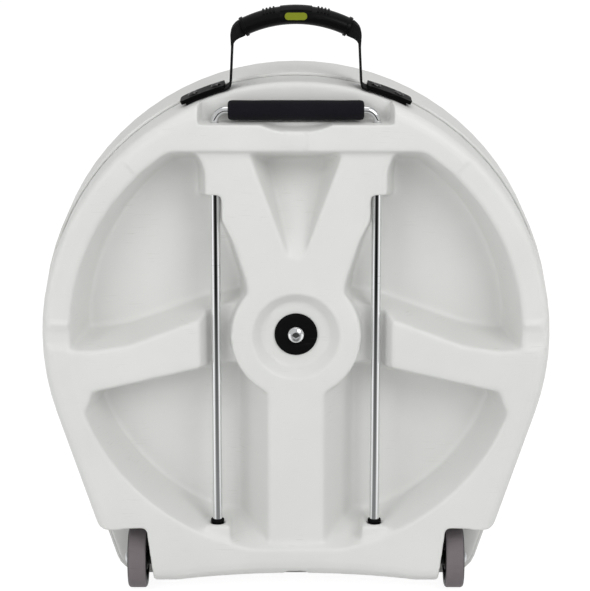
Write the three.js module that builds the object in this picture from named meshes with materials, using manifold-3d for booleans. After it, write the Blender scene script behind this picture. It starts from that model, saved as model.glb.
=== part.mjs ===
// A hard case for cymbals up to 22 inches, on two wheels. The base is the back half: it carries the wheels,
// the pull handle, the carry handle and the centre clamp. The lid is the front half and slides over the base.
// Millimetres, +X right seen from the back, +Y from the back towards the front, +Z up. The origin is on the
// ground under the middle of the closed case. Outlines are drawn in x and z about the axis of the round
// shell, and a depth is measured from the back rim towards the front.

import * as THREE from 'three';
import { mergeVertices } from 'three/addons/utils/BufferGeometryUtils.js';
import Module from 'manifold-3d';

const wasm = await Module();
wasm.setup();

// Fits
const gap = 0.3;
const lidFit = 0.5;
const tidySize = 0.03;

// Case
const caseRadius = 311;
const caseDepth = 200;
const lidDepth = 114;
const footDrop = 23;
const sideAngle = 18.2;
const baseWall = 4;
const lidWall = 3.5;
const lidOverlap = 30;
const bottomCorner = 30;
const backEdge = 14;
const frontEdge = 20;
const backBottomRise = 16;
const archRise = 11;
const archHalf = 150;
const roundSteps = 24;

// Wheel wells
const wellHeight = 90;
const wellOuterFall = 4;
const wellInnerSlope = 0.123;
const wellInnerCorner = 6;
const wellOuterCorner = 15;
const wellLipGap = 5;

// Recess in the back, with its ribs and boss
const backLand = 33;
const recessLift = 1;
const crossbarHeight = 32;
const recessCorner = 26;
const recessDepth = 70;
const recessDraft = 20;
const ribDepth = 10;
const bossTopRadius = 80;
const bossFootRadius = 84;
const dishRimRadius = 54;
const dishFloorRadius = 41;
const dishDepth = 24;
const legHalfWidth = 33.5;
const legDraft = 38;
const shelfFloorRise = 38.5;
const shelfRimRise = 6;
const landStepDepth = 2.5;
const landStepStart = 4;
const landStepAngle = 46.7;
const centreGrooveHalfWidth = 13.5;
const centreGrooveDepth = 3;
const rimGrooveDepth = 4;
const rimGrooveFloor = 7;
const rimGrooveSlope = 9;

// Yoke: two arms that spread from the boss up to the crossbar, with a valley between them
const yokeDraft = 10;
const yokeRootX = 50;
const yokeWaistX = 61;
const yokeWaistZ = 71;
const yokeFlare = [[0.47, 0.45], [0.88, 0.71]];
const yokeRodInset = 4;
const tabSide = 6;
const tabDrop = 56;
const tabEdge = [[0, 0], [0, 29], [4, 42], [14, 60], [14, 86]];
const valleyTopX = 58;
const valleyFootX = 8;
const valleyFootZ = 97;
const valleyDraft = 13;
const valleyClimb = 1.8;

// Side arms: from the land on each side down to the boss, lower where a tube crosses them
const sideArmDraft = 14;
const sideArmRise = 8.5;
const armCrestInset = [170, 16];
const armLowerEdge = [
  [223, -34], [188, -33.5], [124, -48], [50, -64], [27, -69], [24, -82], [14, -104], [-32, -110],
];
const armUpperEdge = [[-32, -14], [31, -17], [75, -10], [170, 25], [223, 38]];
const armDropRim = 23;
const armDropFoot = 10;

// Pull handle, and the notch it lies in
const rodSpacing = 196;
const rodDepth = 23;
const rodRadius = 4.5;
const rodBend = 14;
const ledgeDrop = 47;
const gripRadius = 12;
const gripRodMargin = 2;
const gripEdge = 3;
const gripLedgeGap = 2.5;
const notchSide = 18;
const notchDraft = 3;
const notchBackGap = 2;
const notchRoll = 6;
const scoopHalfWidth = 43;
const scoopDrop = 11;
const scoopInnerDrop = 4;
const scoopDepth = 24;
const tubeRadius = 6;
const tubeWall = 1;
const tubeSlotClearance = 1.5;
const tubeSlotBehind = 5;
const socketPadRise = 10.8;
const socketPadHalfWidth = 17;
const socketPadDepth = 6;
const socketWall = 1;
const socketFlange = 2.3;
const socketFlangeHeight = 3.7;
const socketBelow = 10.5;
const socketBase = 3;
const rodEndAboveTube = 4;
const rodEndLength = 12;

// Wheels
const wheelRadius = 38;
const wheelWidth = 24;
const wheelInset = 48.2;
const wheelWallGap = 0.5;
const wheelRearGap = 3;
const hubRadius = 33;
const treadShoulder = 4;
const bearingRadius = 11;
const bearingWidth = 7;
const axleRadius = 4;
const axleHeadRadius = 8;
const axleHeadHeight = 5.5;
const axleNutRadius = 7.5;
const axleNutHeight = 6.5;
const axleThread = 2.5;
const axleSpacerRadius = 9.5;

// Carry handle
const webbingLipGap = 30;
const webbingThickness = 2.5;
const webbingWidth = 38;
const foldedWidth = 24;
const foldThickness = [16, 15.5, 14.5, 13, 11, 8.5, 5.5];
const foldStart = 3.4;
const carryLegX = 79;
const carryArcRadius = 144;
const carryRise = 78;
const carryGripHalfLength = 64;
const carryBend = 23;
const carryGripWidth = 32;
const carryGripThickness = 23;
const carryGripTaper = 0.05;
const plateThickness = 4.5;
const plateWidth = 42;
const plateCorner = 6;
const plateLength = 57;
const rivetAlong = [15, 42];
const badgeLength = 27;
const badgeHeight = 9;
const badgeThickness = 2.5;

// Rivets
const rivetShank = 2.4;
const rivetHead = 6;
const rivetDome = 2.6;
const rivetTail = 4.5;
const rivetTailHeight = 1.6;

// Centre clamp
const boltRadius = 6;
const boltHeadRadius = 10.7;
const boltHeadHeight = 6.5;
const boltSocket = 8;
const boltSocketDepth = 3.5;
const boltLidGap = 8.2;
const outerWasherRadius = 26.4;
const outerWasherThickness = 3;
const innerWasherRadius = 20;
const innerWasherThickness = 2.5;
const lockNutWidth = 19;
const lockNutHeight = 10;
const sleeveRadius = 10;
const cushionRadius = 22;
const cushionThickness = 12;
const clampWasherRadius = 18;
const clampWasherThickness = 2.5;
const wingHubRadius = 10;
const wingHubHeight = 12;
const wingSpan = 27;
const wingRise = 8;
const wingThickness = 5;

// Foam inside
const padThickness = 10;
const padMargin = 24;
const lidPadMargin = 5;
const lidPanelMargin = 61;
const lidPanelDepth = 8;
const lidDiscRadius = 84;
const lidPanelDraft = 6;

// Side closures
const channelHalfWidth = 17;
const channelDepth = 10;
const channelStart = 21;
const channelLidEnd = 16;
const closureStrapWidth = 25;
const closureStrapThickness = 1.8;
const rivetLipGap = 43;
const rivetFrontGap = 40;
const strapEndMargin = 11;
const buckleHalfWidth = 16;
const buckleThickness = 9;
const buckleWall = 1.8;
const prongLipGap = 23;
const socketLipGap = 6;
const socketLength = 33;
const slotLength = 5;
const barWidth = 3;
const barThickness = 3.4;
const prongLength = 19;
const prongInner = 7.5;
const prongOuter = 10.8;
const barbOuter = 13.6;
const barbStart = 9;
const windowLength = 11;

const radians = (angle) => (angle * Math.PI) / 180;
const point = (x, z) => new THREE.Vector2(x, z);

// Places worked out from the sizes above
const centreHeight = caseRadius + footDrop;
const lidGrow = lidFit + lidWall;
const baseDrop = centreHeight - lidGrow;
const lipDepth = caseDepth - lidDepth;
const mouthDepth = lipDepth + lidOverlap;
const sideX = (z) => (caseRadius + z * Math.sin(radians(sideAngle))) / Math.cos(radians(sideAngle));

const wellDepth = lipDepth - wellLipGap;
const wellTop = wellHeight - centreHeight;
const wheelX = sideX(wellTop) - wheelInset;
const wheelZ = wheelRadius - centreHeight;
const wheelDepth = wellDepth - wheelRearGap - wheelRadius;
const wellWallX = (z) => wheelX - wheelWidth / 2 - wheelWallGap - wellInnerSlope * (wellTop - z);

const recessRadius = caseRadius - backLand;
const ledgeZ = caseRadius - ledgeDrop;
const recessTop = ledgeZ - crossbarHeight;
const tabZ = recessTop - tabDrop;
const shelfFloorZ = shelfFloorRise - recessRadius;
const shelfRimZ = shelfRimRise - recessRadius;

const rodX = rodSpacing / 2;
const gripLength = 2 * (rodX - rodBend - gripRodMargin);
const gripZ = ledgeZ + gripLedgeGap + gripRadius;
const notchDepth = rodDepth + gripRadius + notchBackGap;
const notchHalfWidth = rodX + notchSide;
const socketPadZ = socketPadRise - Math.sqrt(recessRadius ** 2 - (rodX + socketPadHalfWidth) ** 2);
const tubeTopZ = ledgeZ - baseWall - gap;
const socketBottomZ = socketPadZ - socketBelow;
const tubeBottomZ = socketBottomZ + socketBase + gap;

const webbingDepth = lipDepth - webbingLipGap;
const carryTopZ = caseRadius + carryRise;
const angleAt = (x) => THREE.MathUtils.radToDeg(Math.asin(x / caseRadius));
const plateInnerX = carryLegX + 1;
const plateInnerAngle = angleAt(plateInnerX);
const rivetAngles = rivetAlong.map((along) => angleAt(plateInnerX + along));

const lidPanelRadius = caseRadius - lidPanelMargin;
const lidPadRadius = lidPanelRadius - lidPadMargin;
const boltEndDepth = caseDepth - lidPanelDepth - lidWall - gap - padThickness - boltLidGap;

const channelFloorX = caseRadius - channelDepth;
const lidChannelFloorX = channelFloorX + lidGrow;
const baseRivetDepth = lipDepth - rivetLipGap;
const lidRivetDepth = caseDepth - rivetFrontGap;
const prongStart = lipDepth - prongLipGap;
const socketStart = lipDepth - socketLipGap;

const white = { color: 0xe4e4e0, roughness: 0.45, metalness: 0 };
const black = { color: 0x191919, roughness: 0.6, metalness: 0 };
const rubber = { color: 0x151515, roughness: 0.75, metalness: 0 };
const foam = { color: 0x202024, roughness: 0.95, metalness: 0 };
const chrome = { color: 0xd9dadc, roughness: 0.12, metalness: 1 };
const steel = { color: 0xa8abad, roughness: 0.35, metalness: 1 };
const greyTyre = { color: 0x706b6e, roughness: 0.6, metalness: 0 };
const badgePaint = { color: 0x7a8420, roughness: 0.5, metalness: 0 };
const feltGrey = { color: 0x4a4a4c, roughness: 1, metalness: 0 };

// Points along an arc about a centre, from one angle to another in degrees.
function arc(centreX, centreZ, radius, start, end, steps) {
  return Array.from({ length: steps + 1 }, (_, step) => {
    const angle = radians(start + ((end - start) * step) / steps);
    return point(centreX + radius * Math.cos(angle), centreZ + radius * Math.sin(angle));
  });
}

// The round that replaces a corner between two straight sides.
function fillet(before, corner, after, radius, steps = 4) {
  const back = before.clone().sub(corner).normalize();
  const ahead = after.clone().sub(corner).normalize();
  const half = Math.acos(back.dot(ahead)) / 2;
  const centre = back.clone().add(ahead).normalize().multiplyScalar(radius / Math.sin(half)).add(corner);
  const start = back.clone().multiplyScalar(radius / Math.tan(half)).add(corner);
  const sweep = -Math.sign(back.cross(ahead)) * (Math.PI - 2 * half);
  return Array.from({ length: steps + 1 }, (_, step) =>
    start.clone().rotateAround(centre, (sweep * step) / steps));
}

const mirrored = (outline) => outline.map(({ x, y }) => point(-x, y)).reverse();

// Closes a right half, drawn from its lowest to its highest point on the centre line, with its mirror image.
const symmetric = (rightHalf) => [...rightHalf, ...mirrored(rightHalf.slice(1, -1))];

const sideNormal = (from, to) => point(to.y - from.y, from.x - to.x).normalize();

// Moves each side of a counter-clockwise outline outwards by a distance.
function offset(outline, distance) {
  return outline.map((corner, index) => {
    const before = sideNormal(outline.at(index - 1), corner);
    const after = sideNormal(corner, outline[(index + 1) % outline.length]);
    const reach = distance / (1 + before.dot(after));
    return corner.clone().add(before.add(after).multiplyScalar(reach));
  });
}

// The outline of a strip that follows a line of points. It has one thickness, or one for each point.
function stripOutline(line, thickness) {
  const last = line.length - 1;
  const side = (direction) => line.map((spot, index) => {
    const before = sideNormal(line[Math.max(index - 1, 0)], line[Math.max(index, 1)]);
    const after = sideNormal(line[Math.min(index, last - 1)], line[Math.min(index + 1, last)]);
    const width = Array.isArray(thickness) ? thickness[index] : thickness;
    const reach = (direction * width) / 2 / (1 + before.dot(after));
    return spot.clone().add(before.add(after).multiplyScalar(reach));
  });
  return [...side(1), ...side(-1).reverse()];
}

// Turns a closed mesh into a solid that can be joined and cut, with its faces pointing out.
function toSolid(geometry) {
  const bare = geometry.clone();
  bare.deleteAttribute('normal');
  bare.deleteAttribute('uv');
  const merged = mergeVertices(bare, 1e-4);
  const spots = merged.attributes.position.array;
  const corner = (index) => new THREE.Vector3().fromArray(spots, index * 3);
  const faces = [];
  let volume = 0;
  for (let i = 0; i < merged.index.count; i += 3) {
    const [a, b, c] = [0, 1, 2].map((step) => merged.index.getX(i + step));
    if (a === b || b === c || c === a) continue;
    faces.push([a, b, c]);
    volume += corner(a).dot(corner(b).cross(corner(c)));
  }
  const outward = volume > 0 ? faces : faces.map(([a, b, c]) => [a, c, b]);
  return new wasm.Manifold(new wasm.Mesh({
    numProp: 3,
    vertProperties: new Float32Array(spots),
    triVerts: new Uint32Array(outward.flat()),
  }));
}

// Leaves out slivers smaller than the tidy size.
function toGeometry(solid) {
  const mesh = solid.asOriginal().simplify(tidySize).getMesh();
  const geometry = new THREE.BufferGeometry();
  geometry.setAttribute('position', new THREE.BufferAttribute(new Float32Array(mesh.vertProperties), 3));
  geometry.setIndex(new THREE.BufferAttribute(new Uint32Array(mesh.triVerts), 1));
  geometry.computeVertexNormals();
  return geometry;
}

const joined = (solids) => solids.reduce((whole, solid) => whole.add(solid));
const cutAway = (solid, cutters) => cutters.reduce((rest, cutter) => rest.subtract(cutter), solid);

// A solid through outlines of equal length, each at its own depth. A depth may also be a function of x.
function loft(rings) {
  const count = rings[0].outline.length;
  const spots = rings.flatMap(({ outline, depth }) =>
    outline.flatMap(({ x, y }) => [x, typeof depth === 'function' ? depth(x) : depth, y]));
  const faces = [];
  for (let ring = 0; ring < rings.length - 1; ring += 1) {
    for (let i = 0; i < count; i += 1) {
      const a = ring * count + i;
      const b = ring * count + ((i + 1) % count);
      faces.push([a, b + count, b], [a, a + count, b + count]);
    }
  }
  const last = (rings.length - 1) * count;
  const firstCap = THREE.ShapeUtils.triangulateShape(rings[0].outline, []);
  const lastCap = THREE.ShapeUtils.triangulateShape(rings.at(-1).outline, []);
  firstCap.forEach(([a, b, c]) => faces.push([a, b, c]));
  lastCap.forEach(([a, b, c]) => faces.push([last + a, last + c, last + b]));
  const geometry = new THREE.BufferGeometry();
  geometry.setAttribute('position', new THREE.Float32BufferAttribute(spots, 3));
  geometry.setIndex(faces.flat());
  return toSolid(geometry);
}

const slab = (outline, from, to) => loft([{ outline, depth: from }, { outline, depth: to }]);
const rectangle = (x0, x1, z0, z1) => [point(x0, z0), point(x1, z0), point(x1, z1), point(x0, z1)];
const box = (x0, x1, depth0, depth1, z0, z1) => slab(rectangle(x0, x1, z0, z1), depth0, depth1);

// The same shape on both sides of the case.
const loftBothSides = (rings) =>
  loft(rings).add(loft(rings.map(({ outline, depth }) => ({ outline: mirrored(outline), depth }))));
const bothSides = (outline, from, to) => loftBothSides([{ outline, depth: from }, { outline, depth: to }]);

// A flat strip or plate with its outline drawn in x and depth, and its width along z.
function upright(outline, low, high) {
  const geometry = new THREE.ExtrudeGeometry(new THREE.Shape(outline), {
    depth: high - low,
    bevelEnabled: false,
  });
  return toSolid(geometry.translate(0, 0, low));
}

// A turned solid about the depth axis. The profile holds pairs of radius and depth.
function turned(profile, segments = 24) {
  return toSolid(turnedGeometry(profile, segments));
}

function turnedGeometry(profile, segments = 24) {
  return new THREE.LatheGeometry(profile.map(([radius, along]) => point(radius, along)), segments);
}

// A ring's profile, closed on itself.
const ringProfile = (inner, outer, low, high) =>
  [[inner, low], [outer, low], [outer, high], [inner, high], [inner, low]];

const rodProfile = (radius, low, high) => [[0, low], [radius, low], [radius, high], [0, high]];

// Turned solids that stand along z or along x, through a given place.
function turnedAlongZ(profile, x, depth, segments = 20) {
  return toSolid(turnedGeometry(profile, segments).rotateX(Math.PI / 2).translate(x, depth, 0));
}

function turnedAlongX(profile, depth, z, segments = 24) {
  return toSolid(turnedGeometry(profile, segments).rotateZ(-Math.PI / 2).translate(0, depth, z));
}

// A turned solid that stands on the round wall, with its heights measured from the shell's axis.
function turnedRadial(profile, angle, depth, segments = 10) {
  const geometry = turnedGeometry(profile, segments).rotateX(Math.PI / 2);
  return toSolid(geometry.rotateY(radians(angle)).translate(0, depth, 0));
}

// Case outlines

// The underside slopes down from the back rim to the wheel wells' depth, and is arched at the rim.
function undersideZ(x, depth) {
  const arch = archRise * (1 - (x / archHalf) ** 2);
  return (backBottomRise + arch) * (1 - Math.min(1, depth / wellDepth)) - baseDrop;
}

function baseOutline(depth) {
  const archSteps = 6;
  const arch = Array.from({ length: archSteps + 1 }, (_, step) => {
    const x = (archHalf * step) / archSteps;
    return point(x, undersideZ(x, depth));
  });
  const bottom = arch.at(-1).y;
  const corner = point(sideX(bottom), bottom);
  const tangent = point(sideX(0), 0);
  return symmetric([
    ...arch,
    ...fillet(arch.at(-1), corner, tangent, bottomCorner),
    ...arc(0, 0, caseRadius, -sideAngle, 90, roundSteps),
  ]);
}

// The depth and inset of each ring of a rounded edge, for a solid drawn in by some shrink.
function edgeRings(radius, shrink, steps = 3) {
  return Array.from({ length: steps + 1 }, (_, step) => {
    const angle = ((Math.PI / 2) * step) / steps;
    return {
      depth: shrink + (radius - shrink) * (1 - Math.cos(angle)),
      inset: shrink + (radius - shrink) * (1 - Math.sin(angle)),
    };
  });
}

function baseBody(shrink) {
  const mouth = shrink > 0 ? mouthDepth + baseWall : mouthDepth;
  return loft([
    ...edgeRings(backEdge, shrink).map(({ depth, inset }) => ({
      depth,
      outline: offset(baseOutline(depth), -inset),
    })),
    { depth: wellDepth, outline: offset(baseOutline(wellDepth), -shrink) },
    { depth: mouth, outline: offset(baseOutline(mouth), -shrink) },
  ]);
}

function lidBody(shrink) {
  const outside = offset(baseOutline(caseDepth), lidGrow);
  const lip = shrink > 0 ? lipDepth - lidWall : lipDepth;
  return loft([
    { depth: lip, outline: offset(outside, -shrink) },
    ...edgeRings(frontEdge, shrink).reverse().map(({ depth, inset }) => ({
      depth: caseDepth - depth,
      outline: offset(outside, -inset),
    })),
  ]);
}

// What is taken out of the base. Each shape can be grown by the wall, to make the inside of the shell.

const far = 420;
const above = -10;

function wheelWells(grow) {
  const innerTop = point(wellWallX(wellTop), wellTop);
  const innerFoot = point(wellWallX(-far), -far);
  const outerTop = point(sideX(wellTop - wellOuterFall), wellTop - wellOuterFall);
  const shoulder = fillet(point(sideX(0), 0), outerTop, innerTop, wellOuterCorner, 5);
  const outline = [
    ...fillet(outerTop, innerTop, innerFoot, wellInnerCorner, 3),
    innerFoot,
    point(far, -far),
    point(far, shoulder[0].y),
    ...shoulder,
  ];
  return bothSides(offset(outline, grow), above, wellDepth + grow);
}

function handleNotch(grow) {
  const outline = (half) => rectangle(-half - grow, half + grow, ledgeZ - grow, far);
  const opening = loft([
    { outline: outline(notchHalfWidth + notchDraft), depth: above },
    { outline: outline(notchHalfWidth - notchDraft), depth: notchDepth + notchRoll },
  ]);
  const rolled = arc(caseRadius - notchRoll + lidFit, notchDepth + notchRoll, notchRoll - grow, -90, 0, 4);
  const backWall = turned([
    [0, notchDepth + grow],
    ...rolled.map(({ x, y }) => [x, y]),
    [caseRadius + lidFit, mouthDepth],
    [0, mouthDepth],
  ], 80);
  return opening.subtract(backWall);
}

function fingerScoop(grow) {
  const segment = (drop) => {
    const radius = (scoopHalfWidth ** 2 + drop ** 2) / (2 * drop);
    const half = THREE.MathUtils.radToDeg(Math.asin(scoopHalfWidth / radius));
    const curve = arc(0, ledgeZ - drop + radius, radius, -90 - half, -90 + half, 12);
    const top = ledgeZ + gripRadius;
    return offset([...curve, point(scoopHalfWidth, top), point(-scoopHalfWidth, top)], grow);
  };
  return loft([
    { outline: segment(scoopDrop + 1), depth: above },
    { outline: segment(scoopInnerDrop), depth: scoopDepth + grow },
  ]);
}

function recessOutline() {
  const cornerAngle = THREE.MathUtils.radToDeg(Math.asin((recessTop - recessLift) / recessRadius));
  const cornerX = Math.sqrt(recessRadius ** 2 - (recessTop - recessLift) ** 2);
  const round = arc(0, recessLift, recessRadius, -90, cornerAngle - 9, 24);
  return symmetric([
    ...round,
    ...fillet(round.at(-1), point(cornerX, recessTop), point(0, recessTop), recessCorner),
    point(0, recessTop),
  ]);
}

// Ribs stand in the recess up to their own depth and spread towards the floor.
const reliefFoot = recessDepth + 2 * baseWall;

function rib(outline, topDepth, spread, shrink) {
  const grown = (spread * (reliefFoot - ribDepth)) / (recessDepth - ribDepth);
  const top = typeof topDepth === 'function' ? (x) => topDepth(x) + shrink : topDepth + shrink;
  return loft([
    { outline: offset(outline, -shrink), depth: top },
    { outline: offset(outline, grown - shrink), depth: reliefFoot },
  ]);
}

function boss(shrink) {
  return turned([
    [0, ribDepth + shrink],
    [bossTopRadius - shrink, ribDepth + shrink],
    [bossFootRadius - shrink, reliefFoot],
    [0, reliefFoot],
  ], 48);
}

function bossDish(grow) {
  return turned([
    [0, above],
    [dishRimRadius + grow, above],
    [dishRimRadius + grow, ribDepth + grow],
    [dishFloorRadius + grow, dishDepth + grow],
    [0, dishDepth + grow],
  ], 48);
}

// The yoke flares from its waist to the tabs that hold the tubes.
function yoke(shrink) {
  const waist = point(yokeWaistX, yokeWaistZ);
  const tabFoot = point(rodX - yokeRodInset, tabZ);
  const flare = yokeFlare.map(([acrossShare, upShare]) => point(
    waist.x + acrossShare * (tabFoot.x - waist.x),
    waist.y + upShare * (tabFoot.y - waist.y),
  ));
  const tab = tabEdge.map(([out, up]) => point(rodX + tubeRadius + tabSide + out, tabZ + up));
  const rightHalf = [
    point(0, 0), point(yokeRootX, 0), waist, ...flare, tabFoot, ...tab, point(0, tab.at(-1).y),
  ];
  return rib(symmetric(rightHalf), ribDepth, yokeDraft, shrink);
}

// The valley between the arms. Its floor climbs from the recess's floor up to the boss.
function yokeValley(grow) {
  const spread = (valleyTopX - valleyFootX) / (recessTop - valleyFootZ);
  const apex = point(0, valleyFootZ - valleyFootX / spread);
  const crown = point(valleyTopX + spread * crossbarHeight, ledgeZ);
  const outline = [apex, crown, point(-crown.x, crown.y)];
  const floorShift = grow * Math.hypot(1, valleyClimb);
  const wallAt = (depth) => {
    const inset = (valleyDraft * (depth - ribDepth)) / (recessDepth - ribDepth);
    return { depth, outline: offset(outline, grow - inset) };
  };
  const floorAt = (depth) => {
    const top = valleyFootZ + valleyClimb * (depth - ribDepth) - floorShift;
    return { depth, outline: rectangle(-crown.x, crown.x, 0, top) };
  };
  return loft([wallAt(above), wallAt(reliefFoot)]).subtract(loft([floorAt(above), floorAt(reliefFoot)]));
}

// The edges of a side arm are listed as distances in from the recess's rim, and heights.
function sideArm(shrink) {
  const edge = (spots) => spots.map(([inset, z]) => point(recessRadius - inset, z));
  const outline = [...edge(armLowerEdge), ...edge(armUpperEdge)];
  const [innerX, outerX] = armCrestInset.map((inset) => recessRadius - inset);
  const topDepth = (x) => ribDepth - (sideArmRise * (Math.abs(x) - innerX)) / (outerX - innerX);
  return joined([outline, mirrored(outline)].map((side) => rib(side, topDepth, sideArmDraft, shrink)));
}

// Each side arm drops where its tube crosses it, and stays low up to the boss.
function armDrops(grow) {
  const outline = (outerX) => rectangle(dishFloorRadius, rodX + outerX + grow, -bossTopRadius, bossTopRadius);
  return loftBothSides([
    { outline: outline(armDropRim), depth: above },
    { outline: outline(armDropRim), depth: ribDepth - sideArmRise },
    { outline: outline(armDropFoot), depth: tubeSlotFloor + grow },
  ]);
}

function leg(shrink) {
  const outline = rectangle(-legHalfWidth, legHalfWidth, -caseRadius, -dishFloorRadius);
  return rib(outline, ribDepth, legDraft, shrink);
}

// A shelf across the foot of the recess, and on it a flat pad under each tube.
function shelf(shrink) {
  const slope = (shelfFloorZ - shelfRimZ) / recessDepth;
  const half = rodX - tubeRadius - shrink;
  const at = (depth) => ({
    depth,
    outline: rectangle(-half, half, -caseRadius, shelfRimZ + slope * depth - shrink),
  });
  return loft([at(above), at(reliefFoot)]);
}

function socketPads(shrink) {
  const outline = rectangle(rodX - socketPadHalfWidth, rodX + socketPadHalfWidth, -caseRadius, socketPadZ);
  return rib(outline, socketPadDepth, 0, shrink).add(rib(mirrored(outline), socketPadDepth, 0, shrink));
}

// The tubes run in slots past the arms.
const tubeSlotFloor = rodDepth + tubeRadius + tubeSlotBehind;

function tubeSlots(grow) {
  const half = tubeRadius + tubeSlotClearance + grow;
  const slot = rectangle(rodX - half, rodX + half, socketPadZ - grow, tabZ + grow);
  return bothSides(slot, above, tubeSlotFloor + grow);
}

function recess(grow) {
  const rim = recessOutline();
  const at = (depth) => ({ depth, outline: offset(rim, grow - (recessDraft * depth) / recessDepth) });
  const bowl = loft([at(above), at(recessDepth + grow)]);
  const openYoke = yoke(grow).subtract(yokeValley(grow));
  const loweredArms = sideArm(grow).subtract(armDrops(grow));
  const arms = openYoke.add(loweredArms).subtract(tubeSlots(grow));
  const relief = joined([arms, boss(grow), leg(grow), shelf(grow)]).subtract(bossDish(grow));
  return cutAway(bowl, [relief, socketPads(grow)]);
}

// Shallow lower land on each side of the back rim.
function landSteps(grow) {
  const margin = recessDraft;
  const outline = [
    ...arc(0, 0, caseRadius + margin, landStepStart, landStepAngle, 14),
    ...arc(0, 0, recessRadius - margin, landStepStart, landStepAngle, 14).reverse(),
  ];
  return bothSides(offset(outline, grow), above, landStepDepth + grow);
}

// A groove down the centre line, across the crossbar and along the underside.
function centreGroove(grow) {
  const half = centreGrooveHalfWidth + grow;
  const at = (depth) => ({
    depth,
    outline: rectangle(-half, half, -far, undersideZ(0, depth) + centreGrooveDepth + grow),
  });
  const upper = box(-half, half, above, centreGrooveDepth + grow, recessTop - 2, ledgeZ + 2);
  return upper.add(loft([at(above), at(wellDepth)]));
}

// A groove with sloped sides across the back rim, on each side of the case.
function rimGrooves(grow) {
  const slope = rimGrooveSlope / rimGrooveDepth;
  const at = (depth) => {
    const half = rimGrooveFloor + slope * (rimGrooveDepth + grow - depth);
    return { depth, outline: rectangle(recessRadius - recessDraft / 2, far, -half, half) };
  };
  return loftBothSides([at(above), at(rimGrooveDepth + grow)]);
}

// A channel for each closure, sloped at its back end, and wider where the lid's own channel slides over it.
function strapChannels(grow) {
  const half = channelHalfWidth + grow;
  const joggle = lidWall + lidFit;
  const floorX = channelFloorX - grow;
  const start = channelStart - grow;
  const channel = loftBothSides([
    { outline: rectangle(floorX + channelDepth + 1, far, -half, half), depth: start - 1 },
    { outline: rectangle(floorX, far, -half, half), depth: start + channelDepth },
    { outline: rectangle(floorX, far, -half, half), depth: lipDepth },
  ]);
  const wide = rectangle(floorX, far, -half - joggle, half + joggle);
  return channel.add(bothSides(wide, lipDepth - joggle - grow, mouthDepth + 2 * baseWall));
}

// The base's form, drawn in by the wall for its inside.
function baseForm(shrink) {
  return cutAway(baseBody(shrink), [
    wheelWells(shrink),
    handleNotch(shrink),
    fingerScoop(shrink),
    recess(shrink),
    landSteps(shrink),
    centreGroove(shrink),
    rimGrooves(shrink),
    strapChannels(shrink),
  ]);
}

function rivetHole(angle) {
  return turnedRadial(rodProfile(rivetShank + gap, caseRadius - 30, caseRadius + 30), angle, webbingDepth);
}

// Holes through the wall of the strap channel on each side.
function sideRivetHoles(depth) {
  const [low, high] = [channelFloorX - channelDepth, lidChannelFloorX + channelDepth];
  return joined([[low, high], [-high, -low]].map(([from, to]) =>
    turnedAlongX(rodProfile(rivetShank + gap, from, to), depth, 0, 10)));
}

function carryRivetHoles() {
  return joined(rivetAngles.flatMap((angle) => [rivetHole(angle), rivetHole(-angle)]));
}

function baseShell() {
  const holes = [-1, 1].flatMap((side) => [
    turnedAlongZ(rodProfile(rodRadius + lidFit, ledgeZ - 2 * baseWall, ledgeZ + 1), side * rodX, rodDepth),
    turnedAlongZ(rodProfile(tubeRadius + gap, tabZ - 1, tabZ + 2 * baseWall), side * rodX, rodDepth),
    turnedAlongZ(
      rodProfile(tubeRadius + socketWall + 2 * gap, socketPadZ - 2 * baseWall, socketPadZ + 1),
      side * rodX, rodDepth,
    ),
  ]);
  return cutAway(baseForm(0), [
    baseForm(baseWall),
    ...holes,
    turned(rodProfile(boltRadius + gap, above, 2 * dishDepth)),
    turnedAlongX(rodProfile(axleRadius + gap, -wheelX, wheelX), wheelDepth, wheelZ),
    carryRivetHoles(),
    sideRivetHoles(baseRivetDepth),
  ]);
}

function lidForm(shrink) {
  const panelFloor = caseDepth - lidPanelDepth - shrink;
  const panel = turned([
    [lidDiscRadius - shrink, panelFloor],
    [lidPanelRadius + shrink, panelFloor],
    [lidPanelRadius + lidPanelDraft + shrink, caseDepth + 1],
    [lidDiscRadius - lidPanelDraft - shrink, caseDepth + 1],
    [lidDiscRadius - shrink, panelFloor],
  ], 56);
  const half = channelHalfWidth + shrink;
  const channel = rectangle(lidChannelFloorX - shrink, far, -half, half);
  const channels = bothSides(channel, lipDepth - 20, caseDepth - channelLidEnd + shrink);
  return cutAway(lidBody(shrink), [panel, channels]);
}

function lidShell() {
  return cutAway(lidForm(0), [lidForm(lidWall), sideRivetHoles(lidRivetDepth)]);
}

// Foam linings

function baseFloorPad() {
  const outline = offset(recessOutline(), -padMargin);
  const floor = recessDepth + baseWall + gap;
  return slab(outline, floor, floor + padThickness)
    .subtract(turned(rodProfile(sleeveRadius + 2, 0, far), 32));
}

function lidPad() {
  const face = caseDepth - lidPanelDepth - lidWall - gap;
  return turned(rodProfile(lidPadRadius, face - padThickness, face), 48);
}

// Centre clamp, from the back to the front

const washerDepth = dishDepth - gap - outerWasherThickness;
const headDepth = washerDepth - gap;
const insideDepth = dishDepth + baseWall + gap;
const nutDepth = insideDepth + innerWasherThickness + gap;
const sleeveDepth = nutDepth + lockNutHeight + gap;
const lowerCushionDepth = recessDepth + baseWall + 2 * gap + padThickness;
const upperCushionDepth = lowerCushionDepth + cushionThickness + gap;
const clampWasherDepth = upperCushionDepth + cushionThickness + gap;
const wingDepth = clampWasherDepth + clampWasherThickness + gap;
const boltBore = boltRadius + gap;

function hexPrism(width, low, high) {
  return turned(rodProfile(width / Math.sqrt(3), low, high), 6);
}

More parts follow.
